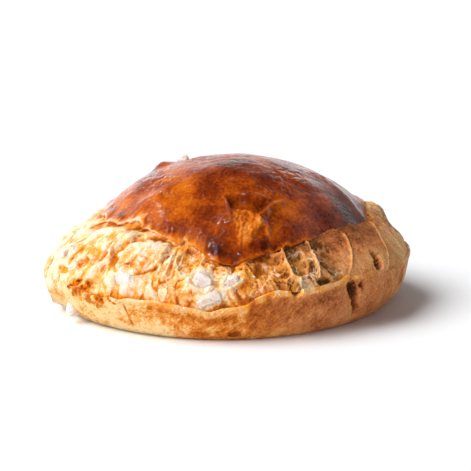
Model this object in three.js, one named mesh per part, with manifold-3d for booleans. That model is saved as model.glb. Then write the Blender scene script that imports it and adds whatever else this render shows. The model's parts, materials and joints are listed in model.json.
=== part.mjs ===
// A round brioche baked with sugar nibs, torn open all round by its own oven spring: a glazed cap of
// thin brown crust, a band of torn crumb below it, and a golden base crust with a raised lip.
// Millimetres, +Z up. The origin is the middle of the flat underside; the front faces -Y.
//
// The loaf is one closed skin. A point of the skin is named by its bearing in degrees (0 right, 90 back,
// 180 left, 270 front) and by its height along the profile, a number called the reach:
// 0 at the foot, 1 at the girth, 2 at the level of the cap's edge and 3 at the apex.

import * as THREE from "three";
import { mergeVertices } from "three/addons/utils/BufferGeometryUtils.js";
import Module from "manifold-3d";

// ---------------------------------------------------------------- driving dimensions, mm and degrees

const HEIGHT = 59.6; // apex above the table
const LEAN = 6; // the apex stands this far right of the foot's centre

// Rings round the loaf: [bearing, value] pairs, joined by a smooth curve.
const FOOT_RADIUS = [[0, 62], [90, 62], [180, 62], [225, 61], [270, 62], [330, 61]];
const GIRTH_RADIUS = [
  [0, 74.5], [45, 72], [90, 70], [135, 71], [160, 72], [180, 74],
  [210, 73.5], [240, 70], [270, 68], [300, 68], [330, 72],
];
const GIRTH_HEIGHT = [[0, 17], [90, 14], [180, 12], [240, 12], [270, 13], [300, 15], [330, 17]];
const CAP_RADIUS = [
  [0, 54], [45, 53], [90, 52], [135, 53], [180, 53], [210, 51],
  [232, 49], [250, 51.5], [272, 56], [290, 52], [315, 52], [335, 57],
];
const CAP_HEIGHT = [
  [0, 39], [45, 41], [90, 42], [135, 40], [180, 36], [210, 36],
  [232, 36.5], [252, 31], [272, 26.5], [285, 29.5], [300, 31.5], [320, 33], [338, 33],
];
const LIP_HEIGHT = [
  [0, 21], [60, 20], [90, 19], [120, 18], [160, 12], [176, 4], [196, 4], [208, 14],
  [225, 14], [252, 14], [262, 13], [272, 14], [285, 18], [300, 17.5], [317, 21], [335, 19],
];
const FLANK_LIFT = [[0, 0.45], [120, 0.4], [165, 0.35], [200, 0.4], [270, 0.45]]; // bulge above the girth
const DOME_SHAPE = [
  [0, 1.05], [45, 0.95], [90, 0.8], [140, 0.75], [180, 0.75], [225, 0.6], [270, 0.6], [315, 0.85],
]; // 1 is a parabola, less has fuller shoulders

const SUNK = 1.3; // the crumb starts this far below the crust, at the lip and under the cap
const LIP_CURL = 1.2; // the base crust's torn edge stands out by this much
const RIM = 0.7; // and the cap's edge by this much
const FLANK_LENGTH = 26; // mean length of the profile from girth to cap edge
const DOME_LENGTH = 58; // and from cap edge to apex

// Stretched skin joins cap and base without a tear here: [bearing, half-width, how torn it is].
const SKINS = [[333, 22, 0.12], [72, 18, 0.3]];

// Alveoli, the blown cells of the crumb.
const CELL = [11, 11, 15]; // size across, across and upright
const CELL_DEPTH = 3.2;
const WALL_RISE = 1.3; // the walls between cells stand this far above the smooth loaf

// Strands of dough pulled from cap to base: [bearing and height at the top, and at the foot, width, rise].
const STRANDS = [
  [[228, 34], [217, 8], 2.6, 3.0],
  [[229, 33], [231, 17], 1.8, 2.0],
  [[239, 31], [252, 21], 1.4, 1.6],
  [[248, 30], [249, 20], 1.2, 1.4],
  [[254, 29], [253, 19], 1.5, 1.8],
  [[291, 29], [293, 20], 1.4, 2.0],
  [[300, 32], [304, 19], 1.7, 2.6],
  [[317, 33], [316, 21], 1.7, 2.2],
  [[345, 34], [341, 18], 2.4, 1.4],
  [[24, 38], [30, 22], 2.0, 2.0],
  [[52, 40], [47, 21], 1.6, 2.2],
  [[98, 41], [103, 20], 2.0, 2.4],
  [[124, 39], [119, 19], 1.5, 2.0],
  [[150, 37], [156, 14], 2.2, 2.4],
  [[188, 35], [183, 8], 2.4, 2.2],
];

// Burst bubbles: [bearing, height, half-width, half-height, depth].
const HOLES = [
  [214.5, 23, 3.6, 2.2, 4.5],
  [223, 26.5, 2.6, 3.6, 3.5],
  [231, 33.2, 2.0, 1.5, 4],
  [282, 24.5, 3.6, 2.8, 2.5],
  [292, 18.6, 2.2, 2.4, 2.5],
  [302.3, 20.4, 3.0, 1.3, 4.5],
  [313.2, 17.2, 2.6, 4.0, 5.5],
  [316.8, 17.2, 1.4, 1.6, 3.5],
  [316, 7.2, 1.3, 1.8, 3],
  [327.2, 24.4, 2.4, 3.0, 5.5],
  [349, 34.2, 1.6, 2.6, 2.6],
  [12, 27, 2.4, 2.6, 4.5],
  [60, 30, 2.8, 2.0, 4],
  [110, 27, 3.0, 2.2, 4.5],
  [166, 25, 2.6, 2.4, 4],
];

// The crack that runs down the base crust: bearings and heights from top to bottom, half-width, depth.
const CRACK = { from: [313.4, 16], to: [316.4, 5.5], halfWidth: 1.1, depth: 3.5, wander: 0.5 };

// Swellings under the skin: [x, y, z, radius, rise].
const SWELLINGS = [
  [61, 5, 34.5, 5.2, 3.2],
  [-25.5, 9, 53, 4.6, 2.2],
  [12.2, -44, 40.6, 4.5, 0.9],
  [72, -12, 22, 8, 0.6],
  [-66, 14, 22, 8, 0.8],
];

// A snip in the cap: its hollow [x, y, z, radius, depth] and the raised flap beside it, end to end.
const SNIP = [7.5, -39.8, 46, 5.6, 2.4];
const FLAP = { from: [20, -31.5, 48], to: [13, -44.5, 40.5], width: 1.7, rise: 1.5 };
const CREASE = { from: [39.6, -0.8, 50.5], to: [55, -14.5, 36], width: 3.2, rise: 0.8 };

// Sugar nibs: [bearing, height, length, width, depth, turn]. Each is half sunk in the crumb.
const NIBS = [
  [261.6, 21.3, 8.4, 6.4, 5.4, -20],
  [265.2, 16.4, 9.8, 3.8, 4.4, 33],
  [271.6, 21.4, 6.8, 4.0, 4.4, 35],
  [201.5, 22.8, 8.0, 5.6, 5.6, 40],
  [180, 25.8, 6.6, 4.6, 4.8, 50],
  [235.8, 20.3, 8.2, 6.0, 5.0, 10],
  [213.6, 5.2, 5.8, 3.8, 4.2, -20],
  [294.5, 18.9, 6.6, 4.2, 4.4, 5],
];
const NIB_ON_CAP = [150.8, 55.4, 5.2, 4.4, 6.6, 0];
const HIDDEN_SIDE_NIBS = { first: 14, last: 160, count: 6, size: [6.4, 4.6, 4.6] };
const NIB_GAP = 0.35; // clearance of a nib in its pocket
const NIB_PROUD = 0.1; // share of a nib's depth by which its middle stands out of the crumb

// Mesh: the skin is laid out finely, then thinned to this many triangles where it is smooth.
const COLUMNS = 460;
const BASE_ROWS = 20;
const BAND_ROWS = 36;
const CAP_ROWS = 56;
const LOAF_TRIANGLES = 8800;

// ---------------------------------------------------------------- numbers that wander

const fract = (x) => x - Math.floor(x);
const hash = (i, j, k) => fract(Math.sin(i * 127.1 + j * 311.7 + k * 74.7) * 43758.5453);
const mix = (a, b, t) => a + (b - a) * t;
const ramp = (low, high, x) => {
  const t = Math.min(1, Math.max(0, (x - low) / (high - low)));
  return t * t * (3 - 2 * t);
};
const radians = (deg) => (deg * Math.PI) / 180;
// The shortest way from bearing b to bearing a, from -180 to 180.
const turnTo = (a, b) => ((((a - b + 180) % 360) + 360) % 360) - 180;

/** Smooth noise from -1 to 1 at a point, with lumps as wide as size. */
function noise([x, y, z], size) {
  const p = [x / size, y / size, z / size];
  const cell = p.map(Math.floor);
  const [u, v, w] = p.map((c, n) => ramp(0, 1, c - cell[n]));
  const at = (a, b, c) => hash(cell[0] + a, cell[1] + b, cell[2] + c);
  const row = (b, c) => mix(at(0, b, c), at(1, b, c), u);
  return 2 * mix(mix(row(0, 0), row(1, 0), v), mix(row(0, 1), row(1, 1), v), w) - 1;
}

/** How far a point is from the nearest wall between cells: 0 on a wall, near 1 in a cell's middle. */
function cellDepth(point, size) {
  const p = point.map((c, n) => c / size[n]);
  const home = p.map(Math.floor);
  let [nearest, second] = [9, 9];
  for (let i = -1; i <= 1; i++)
    for (let j = -1; j <= 1; j++)
      for (let k = -1; k <= 1; k++) {
        const c = [home[0] + i, home[1] + j, home[2] + k];
        const seed = c.map((v, n) => v + hash(c[0] + 19 * n, c[1] + 7 * n, c[2] + 3 * n));
        const d = Math.hypot(p[0] - seed[0], p[1] - seed[1], p[2] - seed[2]);
        if (d < nearest) [nearest, second] = [d, nearest];
        else if (d < second) second = d;
      }
  return second - nearest;
}

/** A closed ring of [bearing, value] pairs read at a bearing, as a smooth curve through them. */
function around(ring, bearing) {
  const deg = ((bearing % 360) + 360) % 360;
  const n = ring.length;
  const key = (i) => {
    const lap = Math.floor(i / n);
    return [ring[i - lap * n][0] + 360 * lap, ring[i - lap * n][1]];
  };
  let i = -1;
  while (key(i + 1)[0] <= deg) i++;
  const [a, b, c, d] = [key(i - 1), key(i), key(i + 1), key(i + 2)];
  const span = c[0] - b[0];
  const t = (deg - b[0]) / span;
  const slopeIn = ((c[1] - a[1]) / (c[0] - a[0])) * span;
  const slopeOut = ((d[1] - b[1]) / (d[0] - b[0])) * span;
  const [t2, t3] = [t * t, t * t * t];
  return (
    (2 * t3 - 3 * t2 + 1) * b[1] +
    (t3 - 2 * t2 + t) * slopeIn +
    (3 * t2 - 2 * t3) * c[1] +
    (t3 - t2) * slopeOut
  );
}

// ---------------------------------------------------------------- the smooth loaf

/** The ring values at one bearing, read once for a whole column of the skin. */
function sectionAt(bearing) {
  return {
    bearing,
    foot: around(FOOT_RADIUS, bearing),
    girth: around(GIRTH_RADIUS, bearing),
    girthHeight: around(GIRTH_HEIGHT, bearing),
    cap: around(CAP_RADIUS, bearing),
    capHeight: around(CAP_HEIGHT, bearing),
    lift: around(FLANK_LIFT, bearing),
    dome: around(DOME_SHAPE, bearing),
  };
}

/** The smooth loaf's point at a section's bearing and a reach from 0, the foot, to 3, the apex. */
function smoothPoint(s, reach) {
  let radius, height;
  if (reach < 1) {
    const a = (reach * Math.PI) / 2;
    radius = s.foot + (s.girth - s.foot) * Math.sin(a);
    height = s.girthHeight * (1 - Math.cos(a));
  } else if (reach < 2) {
    const t = reach - 1;
    radius = mix(s.girth, s.cap, t * t);
    height = s.girthHeight + (s.capHeight - s.girthHeight) * (2 * s.lift * t * (1 - t) + t * t);
  } else {
    const x = 3 - reach;
    radius = s.cap * x;
    height = HEIGHT - (HEIGHT - s.capHeight) * x * x * mix(x * x, 1, s.dome);
  }
  const a = radians(s.bearing);
  return [radius * Math.cos(a) + LEAN * (height / HEIGHT) ** 2, radius * Math.sin(a), height];
}

/** The reach at which a section comes up to a height below its cap's edge. */
function reachOf(s, height) {
  if (height < s.girthHeight) return Math.acos(1 - height / s.girthHeight) / (Math.PI / 2);
  const share = (height - s.girthHeight) / (s.capHeight - s.girthHeight);
  const bend = 1 - 2 * s.lift;
  return 1 + (Math.sqrt(s.lift * s.lift + bend * share) - s.lift) / bend;
}

/** The way out of the smooth loaf at a point of it. */
function outward(bearing, reach) {
  if (reach > 2.98) return [0, 0, 1];
  const [step, rise] = [0.5, 0.01];
  const from = (b, r) => new THREE.Vector3(...smoothPoint(sectionAt(b), r));
  const along = from(bearing + step, reach).sub(from(bearing - step, reach));
  const up = from(bearing, reach + rise).sub(from(bearing, Math.max(0, reach - rise)));
  return along.cross(up).normalize().toArray();
}

// ---------------------------------------------------------------- where the crust tore

/** How torn the band is at a bearing, from 0, whole skin, to 1. */
function tornAt(bearing) {
  return SKINS.reduce((torn, [centre, half, left]) => {
    const off = Math.abs(turnTo(bearing, centre));
    return Math.min(torn, mix(left, 1, ramp(half - 8, half + 8, off)));
  }, 1);
}

/** A ragged line's wander at a bearing, in mm, with teeth about as long as size. */
function ragged(bearing, size, row) {
  const a = radians(bearing);
  const at = [66 * Math.cos(a), 66 * Math.sin(a), row];
  return noise(at, size) + 0.5 * noise(at, size / 2.3);
}

const lipReach = (s) => {
  const height = around(LIP_HEIGHT, s.bearing) + 0.9 * ragged(s.bearing, 6, 40);
  return reachOf(s, Math.max(2.5, height));
};

const capReach = (s) => {
  const wander = 1.1 * ragged(s.bearing, 7, 90);
  return 2 + wander / (wander > 0 ? DOME_LENGTH : FLANK_LENGTH);
};

// ---------------------------------------------------------------- relief on the loaf

/** 1 in the middle of a spot on the skin, falling to 0 outside it. */
function spot(p, [x, y, z], radius) {
  return Math.exp(-(((p[0] - x) ** 2 + (p[1] - y) ** 2 + (p[2] - z) ** 2) / radius ** 2));
}

/** 1 along a line through space from one point to another, falling to 0 beside it. */
function ridge(p, { from, to, width }) {
  const line = new THREE.Line3(new THREE.Vector3(...from), new THREE.Vector3(...to));
  const here = new THREE.Vector3(...p);
  const near = line.closestPointToPoint(here, true, new THREE.Vector3());
  return Math.exp(-((near.distanceTo(here) / width) ** 2));
}

/** Distances in mm from a point of the skin to a bearing and a height on it. */
function away(bearing, p, toBearing, toHeight) {
  const across = radians(turnTo(bearing, toBearing)) * Math.hypot(p[0], p[1]);
  return [across, p[2] - toHeight];
}

/** The strands' rise at a point: ridges that run from cap to base. */
function strandRise(bearing, p) {
  return STRANDS.reduce((most, [top, foot, width, rise]) => {
    const t = (p[2] - foot[1]) / (top[1] - foot[1]);
    const middle = mix(foot[0], top[0], Math.min(1, Math.max(0, t)));
    const [across] = away(bearing, p, middle, 0);
    const flare = 1 + 0.8 * (2 * t - 1) ** 2;
    const ends = ramp(-0.25, 0.05, t) * ramp(1.2, 1, t);
    return Math.max(most, rise * ends * Math.exp(-((across / (width * flare)) ** 2)));
  }, 0);
}

/** How deep the burst bubbles reach at a point. */
function holeDepth(bearing, p) {
  return HOLES.reduce((deepest, [centre, height, halfWidth, halfHeight, depth]) => {
    const [across, up] = away(bearing, p, centre, height);
    const d = Math.hypot(across / halfWidth, up / halfHeight);
    return Math.max(deepest, depth * ramp(1.35, 0.45, d));
  }, 0);
}

/** How deep the crack reaches at a point: a groove that wanders and closes at its foot. */
function crackDepth(bearing, p) {
  const t = (CRACK.from[1] - p[2]) / (CRACK.from[1] - CRACK.to[1]);
  if (t < -0.2 || t > 1.05) return 0;
  const [across] = away(bearing, p, mix(CRACK.from[0], CRACK.to[0], t), 0);
  const wander = CRACK.wander * Math.sin(9 * t);
  const half = CRACK.halfWidth * (1.3 - 0.5 * t);
  return CRACK.depth * ramp(1.6 * half, 0.3 * half, Math.abs(across - wander)) * ramp(1.05, 0.8, t);
}

const swellingRise = (p) =>
  SWELLINGS.reduce((sum, [x, y, z, radius, rise]) => sum + rise * spot(p, [x, y, z], radius), 0);

/** Relief of the glazed cap: broad waves, the snip with its flap, a crease, and a curled edge. */
function capRelief(p, fromEdge) {
  const waves = 1.0 * noise(p, 24) + 0.45 * noise(p, 9);
  const snip = -SNIP[4] * spot(p, SNIP, SNIP[3]) + FLAP.rise * ridge(p, FLAP);
  const curl = RIM * Math.exp(-((fromEdge / 2.2) ** 2)) * (1 + 0.7 * noise(p, 6));
  return waves * ramp(0, 6, fromEdge) + snip + CREASE.rise * ridge(p, CREASE) + curl;
}

/** Relief of the torn band: sunk at its edges, blown into cells between, and crossed by strands. */
function bandRelief(bearing, p, share) {
  const torn = tornAt(bearing);
  const inside = ramp(0, 0.16, share) * ramp(1, 0.86, share);
  const sway = [2.5 * noise(p, 12), 2.5 * noise([p[1], p[2], p[0]], 12), 0];
  const cells = ramp(0.02, 0.5, cellDepth(p.map((c, n) => c + sway[n]), CELL));
  const folds = 1.3 * noise(p, 16) + 0.35 * noise(p, 6);
  const crumb = (folds + WALL_RISE - CELL_DEPTH * cells) * inside - SUNK * (1 - inside);
  const strands = strandRise(bearing, p) * inside * Math.max(0.5, torn);
  return torn * crumb + strands - holeDepth(bearing, p);
}

/** Relief of the base crust: soft lumps, the lip and the crack. */
function baseRelief(bearing, p, fromLip) {
  const lumps = 0.9 * noise(p, 19) + 0.25 * noise(p, 7);
  const curl = LIP_CURL * tornAt(bearing) * Math.exp(-((fromLip / 2.6) ** 2));
  return ramp(0, 7, p[2]) * (lumps + curl - holeDepth(bearing, p) - crackDepth(bearing, p));
}

// ---------------------------------------------------------------- the skin as a fine mesh

/** One column of the skin at a bearing, from the foot up to just below the apex. */
function columnAt(bearing) {
  const s = sectionAt(bearing);
  const [lip, edge] = [lipReach(s), capReach(s)];
  const points = [];
  const place = (reach, relief) => {
    const p = smoothPoint(s, reach);
    const n = outward(bearing, reach);
    const push = relief(p) + swellingRise(p) * ramp(0, 8, p[2]);
    points.push([p[0] + n[0] * push, p[1] + n[1] * push, Math.max(0, p[2] + n[2] * push)]);
  };
  const lipLevel = smoothPoint(s, lip)[2];
  for (let i = 0; i <= BASE_ROWS; i++)
    place(mix(0, lip, i / BASE_ROWS), (p) => baseRelief(bearing, p, lipLevel - p[2]));
  for (let i = 0; i <= BAND_ROWS; i++) {
    const share = i / BAND_ROWS;
    place(mix(lip, edge, share), (p) => bandRelief(bearing, p, share));
  }
  for (let i = 0; i < CAP_ROWS; i++) {
    const reach = mix(edge, 3, i / CAP_ROWS);
    place(reach, (p) => capRelief(p, (reach - edge) * DOME_LENGTH));
  }
  return points;
}

/** The whole skin: vertices and triangles of one closed surface facing out. */
function layOutSkin() {
  const columns = Array.from({ length: COLUMNS }, (_, c) => columnAt((360 * c) / COLUMNS));
  const rows = columns[0].length;
  const vertices = columns.flat();
  const apex = vertices.push([LEAN, 0, HEIGHT + capRelief([LEAN, 0, HEIGHT], DOME_LENGTH)]) - 1;
  const under = vertices.push([0, 0, 0]) - 1;
  const triangles = [];
  for (let c = 0; c < COLUMNS; c++) {
    const [here, next] = [c * rows, ((c + 1) % COLUMNS) * rows];
    for (let r = 0; r + 1 < rows; r++) {
      triangles.push([here + r, next + r, next + r + 1]);
      triangles.push([here + r, next + r + 1, here + r + 1]);
    }
    triangles.push([here + rows - 1, next + rows - 1, apex]);
    triangles.push([next, here, under]);
  }
  return { vertices, triangles };
}

// ---------------------------------------------------------------- thinning the mesh

/** A heap of [cost, ...] entries that gives back the cheapest first. */
class Heap {
  items = [];

  push(item) {
    let i = this.items.push(item) - 1;
    while (i && this.items[(i - 1) >> 1][0] > item[0]) {
      this.items[i] = this.items[(i - 1) >> 1];
      i = (i - 1) >> 1;
    }
    this.items[i] = item;
  }

  pop() {
    const first = this.items[0];
    const last = this.items.pop();
    if (!this.items.length) return first;
    let i = 0;
    for (;;) {
      let child = 2 * i + 1;
      if (child >= this.items.length) break;
      if (child + 1 < this.items.length && this.items[child + 1][0] < this.items[child][0]) child++;
      if (this.items[child][0] >= last[0]) break;
      this.items[i] = this.items[child];
      i = child;
    }
    this.items[i] = last;
    return first;
  }
}

/**
 * Joins the edges of a closed mesh, those that change its shape least first, until so many triangles
 * are left. Each vertex carries the planes of its faces, and an edge costs what its merged end strays
 * from them. An edge is left alone if joining it would pinch the surface or turn a face over.
 */
function thin({ vertices, triangles }, wanted) {
  const points = vertices.map((v) => new THREE.Vector3(...v));
  const faces = triangles.map((t) => [...t]);
  const facesOf = points.map(() => new Set());
  const planes = points.map(() => new Float64Array(10));
  const version = new Int32Array(points.length);
  const cross = (a, b, c) => b.clone().sub(a).cross(c.clone().sub(a));

  faces.forEach((face, f) => {
    const [a, b, c] = face.map((v) => points[v]);
    const n = cross(a, b, c);
    const area = n.length() / 2;
    n.normalize();
    const d = -n.dot(a);
    const plane = [n.x, n.y, n.z, d];
    for (const v of face) {
      facesOf[v].add(f);
      let k = 0;
      for (let i = 0; i < 4; i++)
        for (let j = i; j < 4; j++) planes[v][k++] += area * plane[i] * plane[j];
    }
  });

  const stray = (q, p) => {
    const h = [p.x, p.y, p.z, 1];
    let [sum, k] = [0, 0];
    for (let i = 0; i < 4; i++)
      for (let j = i; j < 4; j++) sum += (i === j ? 1 : 2) * q[k++] * h[i] * h[j];
    return sum;
  };
  const around1 = (v) => new Set([...facesOf[v]].flatMap((f) => faces[f]).filter((w) => w !== v));
  const heap = new Heap();
  const offer = (a, b) => {
    const q = planes[a].map((value, k) => value + planes[b][k]);
    const middle = points[a].clone().add(points[b]).multiplyScalar(0.5);
    const [cost, at] = [points[a], points[b], middle]
      .map((p) => [stray(q, p) + 1e-5 * points[a].distanceToSquared(points[b]), p])
      .reduce((best, next) => (next[0] < best[0] ? next : best));
    heap.push([cost, a, b, version[a], version[b], at.clone()]);
  };
  faces.forEach((face) => face.forEach((a, k) => a < face[(k + 1) % 3] && offer(a, face[(k + 1) % 3])));

  const turnsOver = (v, other, at) =>
    [...facesOf[v]].some((f) => {
      if (faces[f].includes(other)) return false;
      const before = cross(...faces[f].map((w) => points[w]));
      const after = cross(...faces[f].map((w) => (w === v ? at : points[w])));
      return before.dot(after) < 0.2 * before.length() * after.length() || after.length() < 1e-3;
    });

  let left = faces.length;
  while (left > wanted && heap.items.length) {
    const [, a, b, versionA, versionB, at] = heap.pop();
    if (version[a] !== versionA || version[b] !== versionB) continue;
    const shared = [...around1(a)].filter((v) => around1(b).has(v));
    if (shared.length !== 2 || turnsOver(a, b, at) || turnsOver(b, a, at)) continue;
    for (const f of [...facesOf[b]]) {
      if (faces[f].includes(a)) {
        faces[f].forEach((v) => facesOf[v].delete(f));
        faces[f] = null;
        left--;
      } else {
        faces[f][faces[f].indexOf(b)] = a;
        facesOf[a].add(f);
      }
    }
    facesOf[b].clear();
    points[a].copy(at);
    planes[a] = planes[a].map((value, k) => value + planes[b][k]);
    version[a]++;
    version[b] = -1;
    for (const v of around1(a)) offer(a, v);
  }
  return { vertices: points.map((p) => p.toArray()), triangles: faces.filter(Boolean) };
}

// ---------------------------------------------------------------- solids

const wasm = await Module();
wasm.setup();

const solidFrom = ({ vertices, triangles }) =>
  new wasm.Manifold(
    new wasm.Mesh({
      numProp: 3,
      vertProperties: new Float32Array(vertices.flat()),
      triVerts: new Uint32Array(triangles.flat()),
    }),
  );

function geometryFrom(solid) {
  const mesh = solid.getMesh();
  const geometry = new THREE.BufferGeometry();
  geometry.setAttribute("position", new THREE.BufferAttribute(mesh.vertProperties, 3));
  geometry.setIndex(new THREE.BufferAttribute(mesh.triVerts, 1));
  geometry.computeVertexNormals();
  return geometry;
}

/** Drops vertices that no triangle uses, as manifold-3d wants none. */
function packed({ vertices, triangles }) {
  const used = [...new Set(triangles.flat())].sort((a, b) => a - b);
  const place = new Map(used.map((v, i) => [v, i]));
  return {
    vertices: used.map((v) => vertices[v]),
    triangles: triangles.map((t) => t.map((v) => place.get(v))),
  };
}

/** Where a nib sits: the skin's point at its bearing and height, and a frame with Z out of the crumb. */
function seatOf([bearing, height, , , depth, turn]) {
  const s = sectionAt(bearing);
  let reach = height < s.capHeight ? reachOf(s, height) : 2;
  while (reach < 3 && smoothPoint(s, reach)[2] < height) reach += 0.002;
  const out = new THREE.Vector3(...outward(bearing, reach));
  const centre = new THREE.Vector3(...smoothPoint(s, reach)).addScaledVector(out, NIB_PROUD * depth);
  const across = new THREE.Vector3(-Math.sin(radians(bearing)), Math.cos(radians(bearing)), 0);
  const up = out.clone().cross(across).normalize();
  const frame = new THREE.Matrix4().makeBasis(up.clone().cross(out), up, out);
  frame.multiply(new THREE.Matrix4().makeRotationZ(radians(turn)));
  return frame.setPosition(centre);
}

/** A nib of pearl sugar: a blunt, knobbly lump, grown on every side by extra. */
function nibGeometry([bearing, height, length, width, depth], extra) {
  const ball = new THREE.IcosahedronGeometry(1, 1);
  ball.deleteAttribute("normal");
  ball.deleteAttribute("uv");
  const geometry = mergeVertices(ball, 1e-4);
  const at = geometry.getAttribute("position");
  const half = [length / 2, width / 2, depth / 2];
  for (let i = 0; i < at.count; i++) {
    const unit = [at.getX(i), at.getY(i), at.getZ(i)];
    const blunt = 1 / Math.hypot(...unit.map((c) => Math.abs(c) ** 1.6)) ** 0.55;
    const knob = 1 + 0.13 * noise([unit[0] * 3 + bearing, unit[1] * 3 + height, unit[2] * 3], 1.7);
    at.setXYZ(i, ...unit.map((c, n) => c * (half[n] * blunt * knob + extra)));
  }
  return geometry;
}

// ---------------------------------------------------------------- materials

const crustMaterial = new THREE.MeshStandardMaterial({ color: 0xb4622a, roughness: 0.45, metalness: 0 });
const sugarMaterial = new THREE.MeshStandardMaterial({ color: 0xf4ece2, roughness: 0.7, metalness: 0 });

// ---------------------------------------------------------------- sub-parts

/** All the nibs: those on the front, the one on the cap, and some round the hidden side. */
function nibList() {
  const { first, last, count, size } = HIDDEN_SIDE_NIBS;
  const hidden = Array.from({ length: count }, (_, i) => {
    const bearing = mix(first, last, i / (count - 1)) + 6 * (hash(i, 3, 1) - 0.5);
    const s = sectionAt(bearing);
    const low = around(LIP_HEIGHT, bearing) + 3;
    const height = mix(low, s.capHeight - 5, hash(i, 5, 2));
    const scale = mix(0.85, 1.25, hash(i, 7, 3));
    return [bearing, height, ...size.map((v) => v * scale), 180 * hash(i, 9, 4)];
  });
  return [...NIBS, NIB_ON_CAP, ...hidden];
}

function nibMesh(nib, index) {
  const mesh = new THREE.Mesh(nibGeometry(nib, 0), sugarMaterial);
  mesh.name = "sugar_nib_" + String(index + 1).padStart(2, "0");
  mesh.applyMatrix4(seatOf(nib));
  return mesh;
}

/** A nib's pocket in the crumb, in the loaf's own frame. */
function pocketSolid(nib) {
  const geometry = nibGeometry(nib, NIB_GAP).applyMatrix4(seatOf(nib));
  const [at, index] = [geometry.getAttribute("position"), geometry.index.array];
  return new wasm.Manifold(
    new wasm.Mesh({ numProp: 3, vertProperties: at.array, triVerts: new Uint32Array(index) }),
  );
}

function loafMesh(nibs) {
  let solid = solidFrom(packed(thin(layOutSkin(), LOAF_TRIANGLES)));
  for (const nib of nibs) solid = solid.subtract(pocketSolid(nib));
  const mesh = new THREE.Mesh(geometryFrom(solid), crustMaterial);
  mesh.name = "brioche";
  return mesh;
}

const nibs = nibList();
const brioche = new THREE.Group();
brioche.add(loafMesh(nibs), ...nibs.map(nibMesh));

// The origin goes under the middle of the finished outline.
const middle = new THREE.Box3().setFromObject(brioche).getCenter(new THREE.Vector3());
brioche.position.set(-middle.x, -middle.y, 0);

export default brioche;
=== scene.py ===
"""A round sugar brioche on a white table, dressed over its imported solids.

The loaf burst all round as it rose in the oven. A glazed cap of thin brown crust sits on a band of
torn crumb, and the crumb comes out of a golden base crust with a raised, torn lip. Lumps of nib sugar
are baked into the crumb.

The loaf's own measures are in millimetres. A point of its skin is named by its bearing in degrees
(0 right, 90 back, 180 left, 270 front) and by its reach along the profile: 0 at the foot, 1 at the
girth, 2 at the level of the cap's edge and 3 at the apex.
"""

from __future__ import annotations

import json  # noqa: E402
import logging  # noqa: E402
import math  # noqa: E402
from dataclasses import dataclass, field  # noqa: E402
from enum import Enum  # noqa: E402

import bpy  # noqa: E402
import numpy as np  # noqa: E402
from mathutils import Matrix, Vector  # noqa: E402

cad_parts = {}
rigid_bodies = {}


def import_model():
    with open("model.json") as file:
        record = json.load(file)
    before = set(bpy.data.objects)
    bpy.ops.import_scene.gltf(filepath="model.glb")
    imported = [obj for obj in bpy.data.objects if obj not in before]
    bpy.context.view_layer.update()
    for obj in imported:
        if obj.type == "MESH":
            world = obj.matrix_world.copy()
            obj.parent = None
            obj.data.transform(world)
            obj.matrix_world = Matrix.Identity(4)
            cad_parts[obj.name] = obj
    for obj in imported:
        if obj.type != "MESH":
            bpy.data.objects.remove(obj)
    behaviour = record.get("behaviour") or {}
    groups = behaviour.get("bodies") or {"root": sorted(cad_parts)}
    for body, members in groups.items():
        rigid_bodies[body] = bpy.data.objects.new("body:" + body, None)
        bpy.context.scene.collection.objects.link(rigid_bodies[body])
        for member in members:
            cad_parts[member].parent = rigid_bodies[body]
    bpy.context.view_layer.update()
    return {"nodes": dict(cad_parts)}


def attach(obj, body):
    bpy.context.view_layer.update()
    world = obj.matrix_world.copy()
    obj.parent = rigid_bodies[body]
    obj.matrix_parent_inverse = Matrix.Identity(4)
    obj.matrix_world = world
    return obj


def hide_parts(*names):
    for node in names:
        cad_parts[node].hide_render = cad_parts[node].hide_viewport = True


log = logging.getLogger("brioche")

MM = 0.001
BODY = "root"

# One lump of nib sugar lies almost under the crumb. Round these three the crumb stands lower or higher
# than round the rest, in mm.
BURIED_NIB = "sugar_nib_08"
COLLARS = {"sugar_nib_02": 0.5, "sugar_nib_06": 1.4, BURIED_NIB: 2.0}

Ring = tuple[tuple[float, float], ...]
Point = tuple[float, float, float]
Array = np.ndarray
Piece = bpy.types.Object
Material = bpy.types.Material
Tree = bpy.types.NodeTree
Socket = bpy.types.NodeSocket
Stops = tuple[tuple[float, str], ...]


# ---------------------------------------------------------------- numbers that wander


def hashed(i: Array, j: Array, k: Array) -> Array:
    """A fixed number from 0 to 1 for each whole-numbered cell."""
    wave = np.sin(i * 127.1 + j * 311.7 + k * 74.7) * 43758.5453
    return wave - np.floor(wave)


def ramp(low: float, high: float, x: Array) -> Array:
    """0 at low and 1 at high, with a smooth rise between. It falls instead if low is above high."""
    t = np.clip((x - low) / (high - low), 0.0, 1.0)
    return t * t * (3 - 2 * t)


def mix(a: Array, b: Array, t: Array) -> Array:
    """The value a share t of the way from a to b."""
    return a + (b - a) * t


def bell(width: Array | float, x: Array) -> Array:
    """1 where x is 0, falling smoothly to about 0.37 at width and to nothing far out."""
    return np.exp(-((x / width) ** 2))


def lumps(p: Array, size: float | Point) -> Array:
    """Smooth noise from -1 to 1.

    Args:
        p: Points in mm, one a row.
        size: The width of the lumps, or their width along X, Y and Z.

    Returns:
        One value for each point.
    """
    q = p / np.asarray(size, float)
    cell = np.floor(q)
    u, v, w = (ramp(0, 1, (q - cell)[:, n]) for n in range(3))

    def row(j: int, k: int) -> Array:
        at = [hashed(cell[:, 0] + i, cell[:, 1] + j, cell[:, 2] + k) for i in (0, 1)]
        return mix(at[0], at[1], u)

    return 2 * mix(mix(row(0, 0), row(1, 0), v), mix(row(0, 1), row(1, 1), v), w) - 1


def sway(p: Array, size: float, *shifts: float) -> Array:
    """Smooth noise from -1 to 1 along X, Y and Z, each read at its own shift in mm."""
    return np.stack([lumps(p + shift, size) for shift in shifts], axis=1)


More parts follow.
